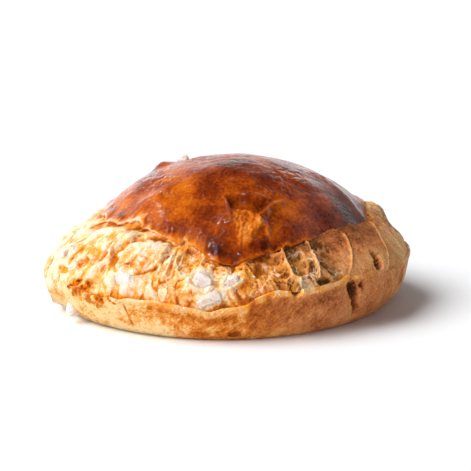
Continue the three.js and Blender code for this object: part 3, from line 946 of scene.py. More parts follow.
@dataclass
class TornLoaf:
    """The loaf without its cap: base crust, lip and torn crumb, all one skin."""

    form: LoafForm
    columns: int = 1020
    rows: dict[Zone, int] = field(
        default_factory=lambda: {Zone.BASE: 22, Zone.LIP: 4, Zone.CRUMB: 59, Zone.TUCK: 6}
    )
    crowding: float = 0.42
    crowded: float = 268.0
    filled: float = 0.32
    lip_thick: float = 1.0
    lip_step: float = 0.7
    groove_deep: float = 0.2
    nibs: tuple[Nib, ...] = ()
    tuck: float = 4.8
    top_level: float = 20.0
    foot_steps: tuple[tuple[float, float], ...] = ((0.93, 0), (0.6, 0), (0.4, 0))
    top_steps: tuple[tuple[float, float], ...] = ((0.8, -2), (0.6, -1))
    lipped: Ring = (
        (0, 0.35), (20, 1), (160, 1), (176, 0.2), (196, 0), (206, 0.4),
        (216, 1), (304, 1), (313, 0.8), (322, 0.1), (345, 0.1),
    )
    # How strongly the painted highlight along the lip's crest shows at each bearing.
    crest_highlight_ring: Ring = ((0, 0.35), (205, 0.25), (225, 0.3), (243, 0.5), (256, 1), (310, 1), (325, 0.35))
    base_bake: Ring = (
        (0, 0.54), (90, 0.55), (160, 0.45), (180, 0.2), (205, 0.12), (232, 0.03),
        (248, 0.12), (265, 0.4), (290, 0.58), (305, 0.66), (330, 0.42),
    )
    crumb_bake: Ring = (
        (0, 0.45), (90, 0.4), (160, 0.3), (190, 0.22), (225, 0.25), (240, 0.23),
        (252, 0.32), (270, 0.46), (285, 0.7), (300, 0.78), (330, 0.6),
    )
    base_dry: Ring = (
        (0, 1), (160, 0.8), (185, 0.3), (200, 0.04), (240, 0), (252, 0.06), (275, 0.15), (296, 0.8), (310, 1),
    )
    slant: Ring = ((0, 0), (190, 0.6), (238, 0.5), (250, 0), (268, -0.6), (290, -0.6), (302, 0), (330, 0.2))
    cell_deep: float = 0.704
    under_cap: float = 2.4
    drift: float = 3.2
    drift_size: float = 11.0
    sheet_size: Point = (6, 6, 14)
    sheet_rise: float = 0.4
    strand_size: Point = (3.4, 3.4, 11)
    strand_rise: float = 0.16
    crease_size: Point = (5.5, 5.5, 12)
    thread_size: Point = (4.2, 4.2, 11)
    thread_rise: float = 0.22
    blob_size: float = 3.1
    blob_rise: float = 0.16
    pore_size: float = 1.7
    rim_rise: float = 0.1
    pit_deep: float = 0.18
    fibre_size: Point = (1.7, 1.7, 9)
    fibre_rise: float = 0.25
    tooth: float = 0.08
    bubbly: Ring = ((0, 0.7), (90, 0.7), (190, 0.25), (238, 0.25), (256, 0.7), (268, 1), (295, 1), (315, 0.6))
    frayed: Ring = ((0, 0.4), (90, 0.4), (180, 0.2), (225, 0.3), (243, 1), (262, 1), (285, 0.6), (310, 0.3))
    bowls: tuple[Bowl, ...] = (
        Bowl(237.5, 27.6, 9.5, 5.6, -1.8, grain=0.8),
        Bowl(222.5, 27.6, 1.8, 3.4, 1.1, 1.0),
        Bowl(215.0, 23.5, 3.6, 2.0, 1.3, 1.0),
        Bowl(207.5, 19.2, 4.4, 1.4, 1.0, 0.9),
        Bowl(221.0, 30.5, 1.3, 2.0, 0.7, 0.8),
        Bowl(195.0, 13.6, 2.6, 1.5, 0.9, 0.9),
        Bowl(256.0, 27.4, 4.4, 4.2, 1.7, 0.2),
        Bowl(263.0, 24.7, 4.0, 2.2, -0.7, grain=0.9),
        Bowl(268.5, 24.4, 3.4, 2.2, -0.7, grain=0.9),
        Bowl(284.0, 26.6, 6.4, 4.4, 2.0, 0.3, grain=0.7),
        Bowl(295.5, 26.8, 4.0, 4.8, 1.9, 0.35),
        Bowl(309.5, 26.6, 7.2, 5.4, 2.2, 0.35),
        Bowl(291.5, 19.9, 2.3, 2.0, 1.8, 0.4),
        Bowl(297.0, 20.0, 3.0, 2.4, 1.6, 0.2),
        Bowl(275.5, 18.6, 5.2, 3.0, -0.6, grain=1.3),
        Bowl(283.5, 21.2, 4.0, 3.8, -0.5, grain=0.3),
        Bowl(288.6, 19.8, 1.4, 1.5, -0.8),
    )
    webs: tuple[Web, ...] = (
        Web((227.0, 34.0), (223.5, 19.0), 1.9, 1.3, 0.02),
        Web((223.5, 19.5), (218.0, 15.0), 1.4, 1.0, 0.02),
        Web((219.0, 24.5), (211.0, 19.5), 0.9, 0.8),
        Web((222.5, 33.0), (229.5, 20.5), 0.8, 0.9),
        Web((244.5, 31.0), (247.0, 22.0), 0.7, 0.6),
        Web((248.5, 30.5), (249.0, 22.5), 0.5, 0.45),
        Web((250.6, 30.0), (251.0, 22.0), 0.45, 0.4),
        Web((252.6, 29.5), (252.6, 22.5), 0.45, 0.5),
        Web((275.5, 27.0), (277.0, 22.0), 0.7, 0.6, 0.45),
        Web((279.5, 25.5), (282.0, 17.2), 0.35, 0.4, 0.3),
        Web((280.8, 25.8), (283.6, 17.3), 0.3, 0.35, 0.3),
        Web((282.1, 25.8), (285.2, 17.4), 0.35, 0.4, 0.3),
        Web((283.4, 25.2), (286.8, 17.5), 0.3, 0.35, 0.3),
        Web((292.0, 31.0), (292.0, 21.5), 0.6, 1.1, 0.3),
        Web((304.5, 33.0), (300.3, 18.5), 0.45, 1.3, 0.2),
        Web((324.0, 33.0), (309.5, 18.5), 0.45, 1.2, 0.3),
        Web((347.0, 34.0), (329.5, 20.5), 0.5, 0.7, 0.15),
        Web((329.5, 20.5), (338.0, 9.0), 0.5, 0.6, 0.2),
        Web((351.0, 30.0), (345.0, 18.0), 0.5, 0.5, 0.2),
    )
    patches: tuple[Patch, ...] = (
        Patch(220.5, 15.6, 8.0, 3.2, 0.58, 1.0),
        Patch(227.5, 12.4, 5.0, 2.4, 0.45, 0.8),
        Patch(250.0, 13.2, 6.0, 1.8, 0.42, 0.0),
        Patch(273.0, 3.2, 2.6, 1.3, 0.8, 0.2),
        Patch(284.0, 12.0, 10.0, 5.0, 0.62, 0.0),
        Patch(344.0, 14.0, 3.6, 4.6, 0.78, 0.0),
        Patch(336.0, 17.0, 2.6, 1.8, 0.66, 0.0),
    )
    rifts: tuple[Web, ...] = (
        Web((238.6, 13.0), (239.8, 3.5), 0.4, -0.6, 0.55),
        Web((231.6, 14.8), (236.4, 12.2), 0.8, -0.3, 0.95),
    )
    pores: tuple[tuple[float, ...], ...] = (
        (325.8, 22.4, 2.2, 1.9, 5.0),
        (353.0, 36.4, 1.3, 1.1, 2.0),
        (354.5, 33.4, 1.0, 1.5, 2.0),
        (346.5, 27.2, 0.6, 0.5, 1.0),
        (344.5, 26.0, 0.7, 0.6, 1.2),
        (342.0, 26.6, 0.5, 0.6, 1.0),
        (347.5, 24.6, 0.5, 0.5, 1.0),
        (337.5, 21.2, 0.6, 0.5, 1.0),
        (318.0, 30.0, 0.7, 0.9, 1.2),
        (322.5, 27.5, 0.5, 0.6, 1.0),
        (291.0, 30.2, 0.9, 0.6, 1.2),
        (307.0, 30.5, 0.7, 0.6, 1.2),
        (311.5, 29.5, 0.6, 0.8, 1.2),
        (298.0, 29.8, 0.8, 0.6, 1.2),
    )

    def drum(self) -> Piece:
        """Starts the skin as an open drum with a ring of vertices for every row."""
        nothing_selected()
        bpy.ops.mesh.primitive_cylinder_add(
            vertices=self.columns, radius=1, depth=2, end_fill_type="NOTHING", location=(0, 0, 0)
        )
        piece = bpy.context.object
        piece.name = piece.data.name = "torn_loaf"
        ends = places(piece)[edge_ends(piece)]
        select_edges(piece, np.abs(ends[:, 0, 2] - ends[:, 1, 2]) > 1)
        bpy.ops.object.mode_set(mode="EDIT")
        cuts = sum(self.rows.values()) - 2
        bpy.ops.mesh.subdivide_edgering(
            number_cuts=cuts, interpolation="LINEAR", smoothness=0, profile_shape_factor=0
        )
        bpy.ops.object.mode_set(mode="OBJECT")
        return piece

    def web(self, web: Web, bearing: Array, p: Array) -> Array:
        """How much each point belongs to a web, from 0 to 1."""
        t = (p[:, 2] - web.foot[1]) / (web.top[1] - web.foot[1])
        along = np.clip(t, 0, 1)
        off = self.form.across(bearing, p, mix(web.foot[0], web.top[0], along)) + 0.5 * lumps(p, 4)
        flare = 1 + 0.9 * (2 * along - 1) ** 4
        return ramp(-0.12, 0.06, t) * ramp(1.12, 0.95, t) * bell(web.width * flare, off)

    def patch(self, patch: Patch, bearing: Array, p: Array) -> Array:
        """How much each point belongs to a patch, from 0 to 1, with a ragged outline."""
        across = self.form.across(bearing, p, patch.bearing) / patch.half_width
        d = np.hypot(across, (p[:, 2] - patch.height) / patch.half_height)
        return ramp(1.15, 0.75, d + 0.45 * lumps(p, 2.6) + 0.25 * lumps(p, 1.2))

    def hole_depth(self, bearing: Array, p: Array) -> Array:
        """How deep the burst bubbles reach at each point, with crisp and ragged edges."""
        deepest = np.zeros(len(p))
        wobble = 0.14 * lumps(p, 2.2) + 0.12 * lumps(p, 1.1)
        for centre, z, half_width, half_height, deep in (*self.form.holes, *self.pores):
            across = np.abs(self.form.across(bearing, p, centre) / half_width)
            up = np.abs((p[:, 2] - z) / half_height)
            d = mix(np.hypot(across, up), across + up, 0.3) + wobble
            filled = self.filled if 200 < centre < 240 else 1.0
            deepest = np.maximum(deepest, filled * deep * ramp(1.12, 0.8, d))
        return deepest

    def base_relief(self, bearing: Array, p: Array, from_lip: Array) -> Array:
        """How far the base crust stands out: soft lumps, the curled lip, blisters, holes and cracks."""
        f = self.form
        curl = f.lip_curl * f.torn(bearing) * bell(2.6, from_lip)
        fine = 0.1 * lumps(p, 2.6) + 0.25 * f.torn(bearing) * lumps(p, (9, 9, 3)) * ramp(0, 5, from_lip)
        golden = 1 - around(self.base_dry, bearing)
        blister = golden * ramp(0.1, 0.7, lumps(p, 11)) * (0.7 * ramp(0.1, 0.6, cell_depth(p, 4.2)) - 0.2)
        dents = golden * -0.5 * ramp(0.3, 0.8, lumps(p + 40, 5))
        rough = sum(x.flaky * self.patch(x, bearing, p) for x in self.patches)
        flakes = rough * (0.5 + 0.9 * (1 - 2 * np.abs(lumps(p, 2.2))))
        cut = sum(x.rise * self.web(x, bearing, p) for x in self.rifts)
        sunk = sum(0.8 * nib.seat(p) for nib in self.nibs if nib.buried)
        whole = self.soft(p) + curl + fine + blister + dents + flakes + cut + sunk
        return ramp(0, 5, p[:, 2]) * (whole - self.hole_depth(bearing, p) - f.crack_depth(bearing, p))

    def soft(self, p: Array) -> Array:
        """The soft lumps of whole skin, the same on the base crust and where the side didn't tear."""
        return 0.9 * lumps(p, 19) + 0.25 * lumps(p, 7)

    def grain_of(self, bearing: Array, p: Array, share: Array) -> tuple[Array, Array]:
        """The soft puffs, small bubbles and fibres of torn crumb.

        Args:
            bearing: Degrees, one a point.
            p: The smooth loaf's points.
            share: How far up the band each point is, from 0 at the lip to 1 at the cap.

        Returns:
            The relief, and painted shade and light, from -1 in creases and pits to 1 on the tops and the thin
            walls.
        """
        stray = sway(p, 4, 0, 31, 57)
        pulled = p + self.drift * sway(p, self.drift_size, 11, 47, 83) + 0.5 * stray
        pulled[:, 0] -= around(self.slant, bearing) * p[:, 2]
        sheet = lumps(pulled, self.sheet_size)
        strand = 1 - 2 * np.abs(lumps(pulled + 17, self.strand_size))
        crease = bell(0.07, lumps(pulled + 43, self.crease_size)) * ramp(-0.3, 0.3, lumps(p + 13, 8))
        thread = bell(0.08, lumps(pulled + 71, self.thread_size)) * ramp(-0.1, 0.4, lumps(p + 23, 8))
        bubbly = around(self.bubbly, bearing)
        blob = np.sqrt(np.clip(cell_depth(p + 0.9 * stray + 17, self.blob_size) / 0.8, 0, 1)) * bubbly
        pore = cell_depth(p + 0.5 * stray, self.pore_size)
        foam = bubbly * (0.25 + 0.75 * ramp(-0.3, 0.5, lumps(p + 5, 10)))
        rim, pit = foam * bell(0.12, pore), foam * ramp(0.1, 0.5, pore)
        fibre = 1 - 2 * np.abs(lumps(p + 0.6 * stray, self.fibre_size))
        fibre = fibre * ramp(0.5, 0.85, share) * around(self.frayed, bearing)
        relief = self.sheet_rise * sheet + self.strand_rise * strand + self.blob_rise * blob
        relief += self.rim_rise * rim - self.pit_deep * pit + self.fibre_rise * fibre
        relief += self.thread_rise * (thread - crease) + self.tooth * lumps(p, 0.9)
        # Painted light and shade: raised sheets, strands, blobs, rims and threads are painted paler, and pits
        # and creases darker.
        tone_and_shade = 0.25 * sheet + 0.45 * strand + 0.2 * blob - 0.1 + 0.4 * rim - 0.5 * pit
        return relief, np.clip(tone_and_shade + 0.35 * fibre - 1.4 * crease + 0.8 * thread, -1, 1)

    def crumb_relief(self, bearing: Array, p: Array, share: Array) -> tuple[Array, Array, Array]:
        """How far the torn crumb stands out.

        Args:
            bearing: Degrees, one a point.
            p: The smooth loaf's points.
            share: How far up the band each point is, from 0 at the lip to 1 at the cap, and on under it.

        Returns:
            The relief, how hollow each point is from 0 to 1, and its painted shade and light from -1 to 1.
        """
        f = self.form
        torn = f.torn(bearing)
        inside = ramp(-0.02, 0.3, share)
        fine, tone_and_shade = self.grain_of(bearing, p, share)
        wall = f.cells(p)
        folds = 1.1 * lumps(p, 16) + 0.35 * lumps(p, 6)
        crumb = folds + 0.7 - self.cell_deep * ramp(0.02, 0.5, wall)
        # Painted shade: the middles of the big blown cells are painted a little hollow.
        hollow = 0.25 * ramp(0.2, 0.8, wall)
        wobble = 0.14 * lumps(p, 3) + 0.06 * lumps(p, 1.3)
        for bowl in self.bowls:
            across = f.across(bearing, p, bowl.bearing) / bowl.half_width
            d = np.hypot(across, (p[:, 2] - bowl.height) / bowl.half_height) + wobble
            held, edge = ramp(1.2, 0.85, d), bell(0.09, d - 1.05)
            floor = 0.6 + 0.4 * folds - bowl.deep * (1 - 0.75 * np.minimum(d, 1.2) ** 2)
            crumb = mix(crumb, floor, held)
            fine = mix(fine, bowl.grain * fine - 0.1, held)
            # Painted shade: a dome is ringed at its foot by a darker line.
            if bowl.deep < 0:
                crumb += 0.25 * bowl.deep * edge
                tone_and_shade += 0.55 * bowl.deep * edge
            else:
                crumb += 0.5 * edge
                # Painted shade: a bowl's floor is painted hollow, as strongly as the bowl says.
                hollow = np.maximum(hollow * (1 - held), held * ramp(1.05, 0.4, d) * bowl.stain_and_shade)
        # Crumbs lie on the shelf behind the lip.
        shelf = ramp(0.4, 0.12, share) * ramp(0.0, 0.1, share)
        fuzz = shelf * (0.3 * ramp(-0.4, 0.5, lumps(p, 8)) + 0.25 * lumps(p, 1.9) + 0.15 * lumps(p, 1.1))
        tone_and_shade = np.clip(tone_and_shade + 0.5 * shelf * lumps(p, 1.9), -1, 1)
        relief = (crumb + fine + fuzz) * inside + 0.1 * (1 - inside)
        # At the top the crumb sinks in, and goes on far enough under the cap to leave no gap.
        relief = mix(relief, 0.6 * relief - 0.7, ramp(0.9, 1.02, share))
        relief = torn * mix(relief, -self.under_cap, ramp(1.08, 1.2, share))
        relief += sum(nib.seat(p) for nib in self.nibs)
        relief += 0.3 * f.strand_rise(bearing, p) * inside * np.maximum(0.5, torn) * ramp(1, 0.93, share)
        webs = sum(x.rise * self.web(x, bearing, p) for x in self.webs)
        relief += webs * inside * np.maximum(0.6, torn) * ramp(1.04, 0.98, share)
        whole = self.soft(p) + 0.15 * lumps(p, 4) - 0.12 * ramp(0.1, 0.5, cell_depth(p, 1.9))
        holes = self.hole_depth(bearing, p)
        # Painted shade: the burst holes are painted hollow.
        hollow = torn * inside * hollow + 0.9 * ramp(0.5, 3, holes)
        filled = np.max([nib.buried * bell(0.5, np.maximum(0, nib.away(p))) for nib in self.nibs], axis=0)
        relief += (1 - torn) * whole - holes * (1 - filled)
        return relief, np.clip(hollow, 0, 1), tone_and_shade * torn

    def standing(self, push: Array, row: Array, column: Array) -> Array:
        """How far each point stands out of its neighbours, in mm: below 0 in creases and pits."""
        grid = np.zeros((sum(self.rows.values()), self.columns))
        grid[row, column] = push
        for reach in (1, 2, 4):
            grid = (np.roll(grid, reach, 1) + grid + np.roll(grid, -reach, 1)) / 3
            wide = np.pad(grid, ((reach, reach), (0, 0)), mode="edge")
            grid = (wide[: -2 * reach] + grid + wide[2 * reach :]) / 3
        return push - grid[row, column]

    def shape(self, piece: Piece) -> None:
        """Moves every ring of the drum to its place on the loaf and paints how it was baked, with painted
        shade and light.
        """
        f = self.form
        at = places(piece)
        count = sum(self.rows.values())
        row = np.rint((at[:, 2] + 1) / 2 * (count - 1)).astype(int)
        even = np.degrees(np.arctan2(at[:, 1], at[:, 0])) % 360
        bearing = (even + self.crowding * np.sin(np.radians(even - self.crowded)) * -180 / np.pi) % 360
        lip, edge, torn = f.lip_reach(bearing), f.cap_reach(bearing), f.torn(bearing)
        starts = np.cumsum([0, *self.rows.values()])
        zone_of = np.searchsorted(starts, row, side="right") - 1
        is_zone = {zone: zone_of == n for n, zone in enumerate(Zone)}

        over = (row - starts[1] + 1) / (self.rows[Zone.LIP] + 1)
        rise = np.clip(row / (self.rows[Zone.BASE] - 1), 0, 1)
        reach = np.where(is_zone[Zone.BASE], lip * (1 - (1 - rise) ** 1.4), lip)
        lip = lip + self.lip_step / f.flank_length
        reach = np.where(is_zone[Zone.LIP], mix(reach, lip, over), reach)
        climb = (row - starts[2]) / (self.rows[Zone.CRUMB] - 1)
        reach = np.where(is_zone[Zone.CRUMB], mix(lip, edge, climb), reach)
        tucked = (row - starts[3] + 1) / self.rows[Zone.TUCK]
        reach = np.where(is_zone[Zone.TUCK], edge + tucked * self.tuck / f.dome_length, reach)

        p = f.point(bearing, reach)
        out = f.outward(bearing, reach)
        lip_level = f.point(bearing, lip)[:, 2]
        base = self.base_relief(bearing, p, lip_level - p[:, 2])
        share = np.where(is_zone[Zone.TUCK], 1 + 0.2 * tucked, np.clip(climb, 0, 1))
        crumb, hollow, tone_and_shade = self.crumb_relief(bearing, p, share)
        push = np.where(is_zone[Zone.BASE], base, crumb)
        push = np.where(is_zone[Zone.LIP], mix(base, crumb, ramp(0.1, 1, over)), push)

        # The lip's edge is as thick as the crust: out and over, then down into the groove behind it.
        torn_lip = torn * around(self.lipped, bearing) * is_zone[Zone.LIP]
        push = push + f.swelling(p) - torn_lip * self.lip_thick * ramp(0.15, 0.9, over) * 0.6
        lift = 0.6 * np.sin(np.pi * np.minimum(1, 1.3 * over)) - self.groove_deep * ramp(0.55, 1, over)
        stands = self.standing(push, row, np.rint(even / 360 * self.columns).astype(int) % self.columns)
        spot = p + out * push[:, None]
        spot[:, 2] += torn_lip * lift
        spot[:, 2] = np.maximum(0, spot[:, 2])
        place(piece, f.settle(spot))
        # Painted shade and light: points lower than their neighbours are painted darker, and points higher
        # are painted paler.
        tone_and_shade = np.clip(0.9 * tone_and_shade + 1.3 * stands, -1, 0.6)
        self.paint_bake(piece, bearing, p, climb, is_zone, hollow, tone_and_shade, lip_level)

    def paint_bake(
        self, piece: Piece, bearing: Array, p: Array, climb: Array,
        is_zone: dict[Zone, Array], hollow: Array, tone_and_shade: Array, lip_level: Array,
    ) -> None:
        """Paints how brown, how hollow, how crusty, how dry and how glossy each point of the skin is, with
        painted shade and highlights.

        Args:
            piece: The torn loaf.
            bearing: Degrees, one a point.
            p: The smooth loaf's points.
            climb: How far up the band each point is, from 0 at the lip to 1 at the cap.
            is_zone: Flags of the points in each zone.
            hollow: How hollow each point is, from 0 to 1.
            tone_and_shade: Painted shade below 0 in creases and pits, and painted light above it on the tops
                and the thin walls.
            lip_level: The height of the lip at each point's bearing.
        """
        f = self.form
        torn = f.torn(bearing)
        lipped = around(self.lipped, bearing)
        base = is_zone[Zone.BASE] | is_zone[Zone.LIP]
        dry = np.clip(around(self.base_dry, bearing), 0, 1)
        from_cap = (1 - climb) * f.flank_length
        # Under the cap the crumb is partly browned and partly painted with the cap's shadow, in a band that
        # is widest on the front right.
        below_cap = bell(1.8 + 2.2 * ramp(262, 285, bearing) + 3 * ramp(298, 312, bearing), from_cap)
        # Painted highlight: a bright orange line along the top of the lip, where its torn edge catches the
        # light.
        below_lip = np.maximum(0, lip_level - self.lip_step - p[:, 2])
        near_lip = bell(0.9 + 0.4 * lumps(p, 3), below_lip) * lipped
        crest_highlight = np.where(is_zone[Zone.LIP], lipped, near_lip)

        crust_bake = around(self.base_bake, bearing) + 0.12 * lumps(p, 12) + 0.1 * lumps(p, (7, 7, 2.5))
        crust_bake += (1 - dry) * (0.16 * lumps(p, 3.4) + 0.14 * lumps(p + 7, 6))
        # The base crust is paler at the foot. Its creases and pits are painted darker as shade, and its tops
        # paler as light.
        crust_bake -= 0.16 * ramp(6, 0, p[:, 2]) + 0.12 * tone_and_shade
        crust_bake = mix(crust_bake, 0.12, 0.9 * crest_highlight)
        crumb_bake = around(self.crumb_bake, bearing) + 0.1 * lumps(p, 7)
        # Painted shade and light: the crumb's creases and pits are painted browner, and its tops paler.
        crumb_bake -= np.where(tone_and_shade < 0, 0.65, 0.4) * tone_and_shade
        crumb_bake += 0.55 * below_cap * ramp(-0.6, 0.4, lumps(p, 5))
        from_nib = np.min([nib.away(p) * nib.half.mean() for nib in self.nibs], axis=0)
        crumb_bake = mix(crumb_bake, 0.02, 0.8 * bell(1.5, np.maximum(0, from_nib)))
        # Painted shade and light: the skin's creases are painted darker, and its tops paler.
        skin_bake = 0.38 + 0.16 * lumps(p, 9) + 0.08 * lumps(p, 3) - 0.12 * tone_and_shade
        # The skin is browner near the cap: partly browning, and partly painted shadow under the cap's
        # overhang.
        skin_bake += 0.5 * bell(8.5, from_cap) + 0.24 * ramp(23, 15, p[:, 2])
        skin_bake -= 0.2 * ramp(338, 350, bearing)
        bake = mix(skin_bake, np.where(base, crust_bake, crumb_bake), torn)
        # Crust colour laid over the band under the cap stands for browning and for painted shadow.
        crust = mix(1.0, np.where(base, lipped, 0.7 * below_cap), torn)
        crust = np.where(is_zone[Zone.BASE], np.maximum(crust, 0.7), crust)

        for x in self.patches:
            held = self.patch(x, bearing, p)
            bake = mix(bake, x.bake + x.flaky * (0.4 * lumps(p, 1.5) + 0.3 * lumps(p, 0.8)), held)
            crust = np.maximum(crust, held)
        # The painted highlight on the lip fades in patches and round the loaf, and takes the crust colour off
        # the crest.
        crest_highlight = base * np.clip(1.7 * crest_highlight, 0, 1) * ramp(-0.9, -0.2, lumps(p, 2.6))
        crest_highlight *= around(self.crest_highlight_ring, bearing)
        crust = mix(crust, 0.1, crest_highlight)
        # Painted shade: the flanks of a standing web are painted orange, and its crest takes the web's own
        # bake.
        for x in (*self.webs, *self.rifts):
            held = self.web(x, bearing, p)
            bake = mix(bake, 0.5, (x.rise > 0) * 2.4 * held * (1 - held) * (1 - crust))
            bake = mix(bake, x.bake, 0.9 * held**2)
            hollow = hollow * (1 - held)
        # Painted shade: the insides of the burst holes and the crack are painted dark brown, on the base
        # crust and where the crumb is dry.
        cracked = ramp(0.4, 2.5, self.hole_depth(bearing, p) + f.crack_depth(bearing, p))
        bake = mix(bake, 0.95, np.where(base, cracked, cracked * dry))

        paint(piece, "bake", np.clip(bake, 0, 1))
        paint(piece, "crust", np.clip(crust, 0, 1))
        paint(piece, "dry", dry * (1 - crest_highlight))
        paint(piece, "gloss", np.where(base, 0.5, 0.25) * (1 - dry))
        paint(piece, "hollow", np.where(base, 0.65 * crest_highlight, hollow))

    def close(self, piece: Piece) -> None:
        """Draws the underside in to the loaf's middle, and closes the top under the cap."""
        ends = places(piece)[edge_ends(piece)]
        low = ends[:, :, 2].mean(axis=1) <= self.top_level * MM
        centre = tuple(self.form.settle(np.zeros((1, 3)))[0])
        close_inward(piece, open_edges(piece) & low, self.foot_steps, centre)
        close_inward(piece, open_edges(piece), self.top_steps, centre)

    def build(self, material: Material) -> Piece:
        """Makes the torn loaf and dresses it."""
        piece = self.drum()
        self.shape(piece)
        self.close(piece)
        finish_piece(piece, material, ["brioche"])
        return piece


# ---------------------------------------------------------------- the glazed cap


@dataclass
class GlazedCap:
    """The cap: a thin shell of glazed crust with a curled, torn rim."""

    form: LoafForm
    cells: int = 290
    rim_thick: float = 0.9
    flap_rise: float = 1.5
    tail_rise: float = 1.0
    snip_middle: float = 8.0
    snip_back: float = -34.8
    snip_left: float = 0.2
    snip_right: float = 18.5
    snip_deep: float = 3.0
    flap_line: tuple[tuple[float, float], ...] = (
        (21.8, -33.2), (17.0, -37.0), (12.6, -42.4), (15.4, -44.5), (16.0, -46.8), (12.5, -50.0),
    )
    pale_from: tuple[float, float] = (20.5, -34.2)
    crease_from: Point = (39.6, -0.8, 50.5)
    crease_to: Point = (55, -14.5, 36)
    crease_width: float = 3.2
    crease_rise: float = 0.8
    wrinkle: float = 0.16
    tooth: float = 0.3
    notch: float = 0.7
    tones: tuple[tuple[float, ...], ...] = (
        (6, -29, 8, -0.14),
        (25, -35, 5.5, -0.14),
        (-27, -30, 10, -0.05),
        (-8, -40, 9, 0.16),
        (38, -32, 8, 0.1),
        (8, -14, 16, 0.2),
        (50, -17, 9, 0.2),
    )

    def sheet(self) -> tuple[Piece, Array, Array]:
        """Starts the cap as a square grid, and reads its rings as circles round the apex.

        Returns:
            The grid, each vertex's bearing, and its share of the way from apex to rim.
        """
        nothing_selected()
        bpy.ops.mesh.primitive_grid_add(x_subdivisions=self.cells, y_subdivisions=self.cells, size=2)
        piece = bpy.context.object
        piece.name = piece.data.name = "glazed_cap"
        u, v = places(piece)[:, 0], places(piece)[:, 1]
        wide = np.abs(u) >= np.abs(v)
        sides = 45 * v / np.where(wide, u + (u == 0), 1)
        ends = 90 - 45 * u / np.where(wide, 1, v + (v == 0))
        half_turn = 180 * np.where(wide, u < 0, v < 0)
        return piece, (np.where(wide, sides, ends) + half_turn) % 360, np.maximum(np.abs(u), np.abs(v))

    def ridge(self, p: Array, path: tuple[tuple[float, float], ...], width: float) -> Array:
        """How near points are, seen from above, to a bent line, from 0 to 1."""
        near = np.min([from_line(p[:, :2], *ends) for ends in zip(path, path[1:])], axis=0)
        return (p[:, 1] < 0) * bell(width, near)

    def snip_relief(self, p: Array) -> tuple[Array, Array]:
        """The snip in the glaze: a hollow under its top edge, and torn crumb that shows below it.

        Args:
            p: The smooth loaf's points.

        Returns:
            The relief, and how much each point is part of the amber, unglazed inside.
        """
        level = np.array((1, 1, 0))
        q = p + 0.5 * sway(p, 3.5, 0, 9, 0) * level + 0.25 * sway(p, 1.3, 0, 5, 0) * level
        front = q[:, 1] < 0
        down = self.snip_back - q[:, 1] + 0.06 * np.abs(q[:, 0] - self.snip_middle)
        left = q[:, 0] - (self.snip_left + 0.28 * down)
        right = self.snip_right - 0.62 * down - q[:, 0]
        hollow = front * ramp(0, 1.0, down) * ramp(0, 0.9, left) * ramp(0, 2.5, right)
        deep = hollow * (self.snip_deep * ramp(8, 2.5, down) + 0.9 * ramp(15, 6, down))
        amber = front * ramp(3.5, 5.5, down) * ramp(19, 14, down)
        amber = amber * ramp(-0.5, 1.2, left) * ramp(-0.5, 1.0, right + 1.5)
        bubbles = 0.8 * (1 - ramp(0.05, 0.6, cell_depth(p, 2.1))) - 0.5 * ramp(0.2, 0.7, cell_depth(p, 3.2))
        bubbles = amber * (bubbles + 0.3 * lumps(p, 1.3))
        top, bottom = self.flap_line[:3], self.flap_line[2:]
        flap = self.flap_rise * self.ridge(q, top, 0.75) + self.tail_rise * self.ridge(q, bottom, 0.7)
        flap = (0.75 + 0.5 * lumps(p, 1.8)) * flap
        edge = 0.5 * bell(0.6, left + 0.7) * ramp(-0.5, 1.5, down) * ramp(13, 8, down)
        edge += 0.35 * bell(0.6, down + 0.7) * ramp(-1, 2, left) * ramp(-1, 2, right)
        inside_edge = self.ridge(q, (self.pale_from, *self.flap_line[1:-1]), 0.9)
        pale = np.clip(0.85 * amber + 0.7 * inside_edge, 0, 1)
        return flap + front * edge + bubbles - deep, pale

    def drawn_out(self, bearing: Array, from_edge: Array) -> Array:
        """Points of the cap rolled out, with X and Y round its rim and Z up from the rim."""
        turn = np.radians(bearing)
        return np.stack([50 * np.cos(turn), 50 * np.sin(turn), from_edge], axis=1)

    def relief(self, bearing: Array, p: Array, from_edge: Array) -> tuple[Array, Array]:
        """How far the glazed crust stands out, and how amber its inside shows, at each point."""
        f = self.form
        waves = 1.0 * lumps(p, 24) + 0.45 * lumps(p, 9)
        curl = (f.rim + 0.5 * self.left(bearing)) * bell(2.2, from_edge) * (1 + 0.7 * lumps(p, 6))
        off_crease = from_line(p, self.crease_from, self.crease_to)
        crease = self.crease_rise * bell(self.crease_width, off_crease)
        radial = self.drawn_out(bearing, from_edge)
        drawn = lumps(radial, (13, 13, 2.6)) + 0.55 * lumps(radial, (4, 4, 1.4))
        drawn = self.wrinkle * (0.6 + 0.4 * lumps(p, 15)) * (drawn + 0.2 * lumps(radial, (1.5, 1.5, 11)))
        snip, amber = self.snip_relief(p)
        blister = 0.35 * ramp(0.25, 0.0, cell_depth(p, 5)) * ramp(0.2, 0.7, lumps(p, 13))
        relief = waves * ramp(0, 6, from_edge) + curl * f.torn(bearing) + crease + drawn + snip
        relief -= blister * ramp(1, 5, from_edge) + 0.9 * (1 - f.torn(bearing)) * ramp(2.5, 0, from_edge)
        return relief, amber

    def left(self, bearing: Array) -> Array:
        """How much each bearing is on the front left, where the rim tore the most, from 0 to 1."""
        return ramp(275, 250, bearing) * ramp(195, 215, bearing)

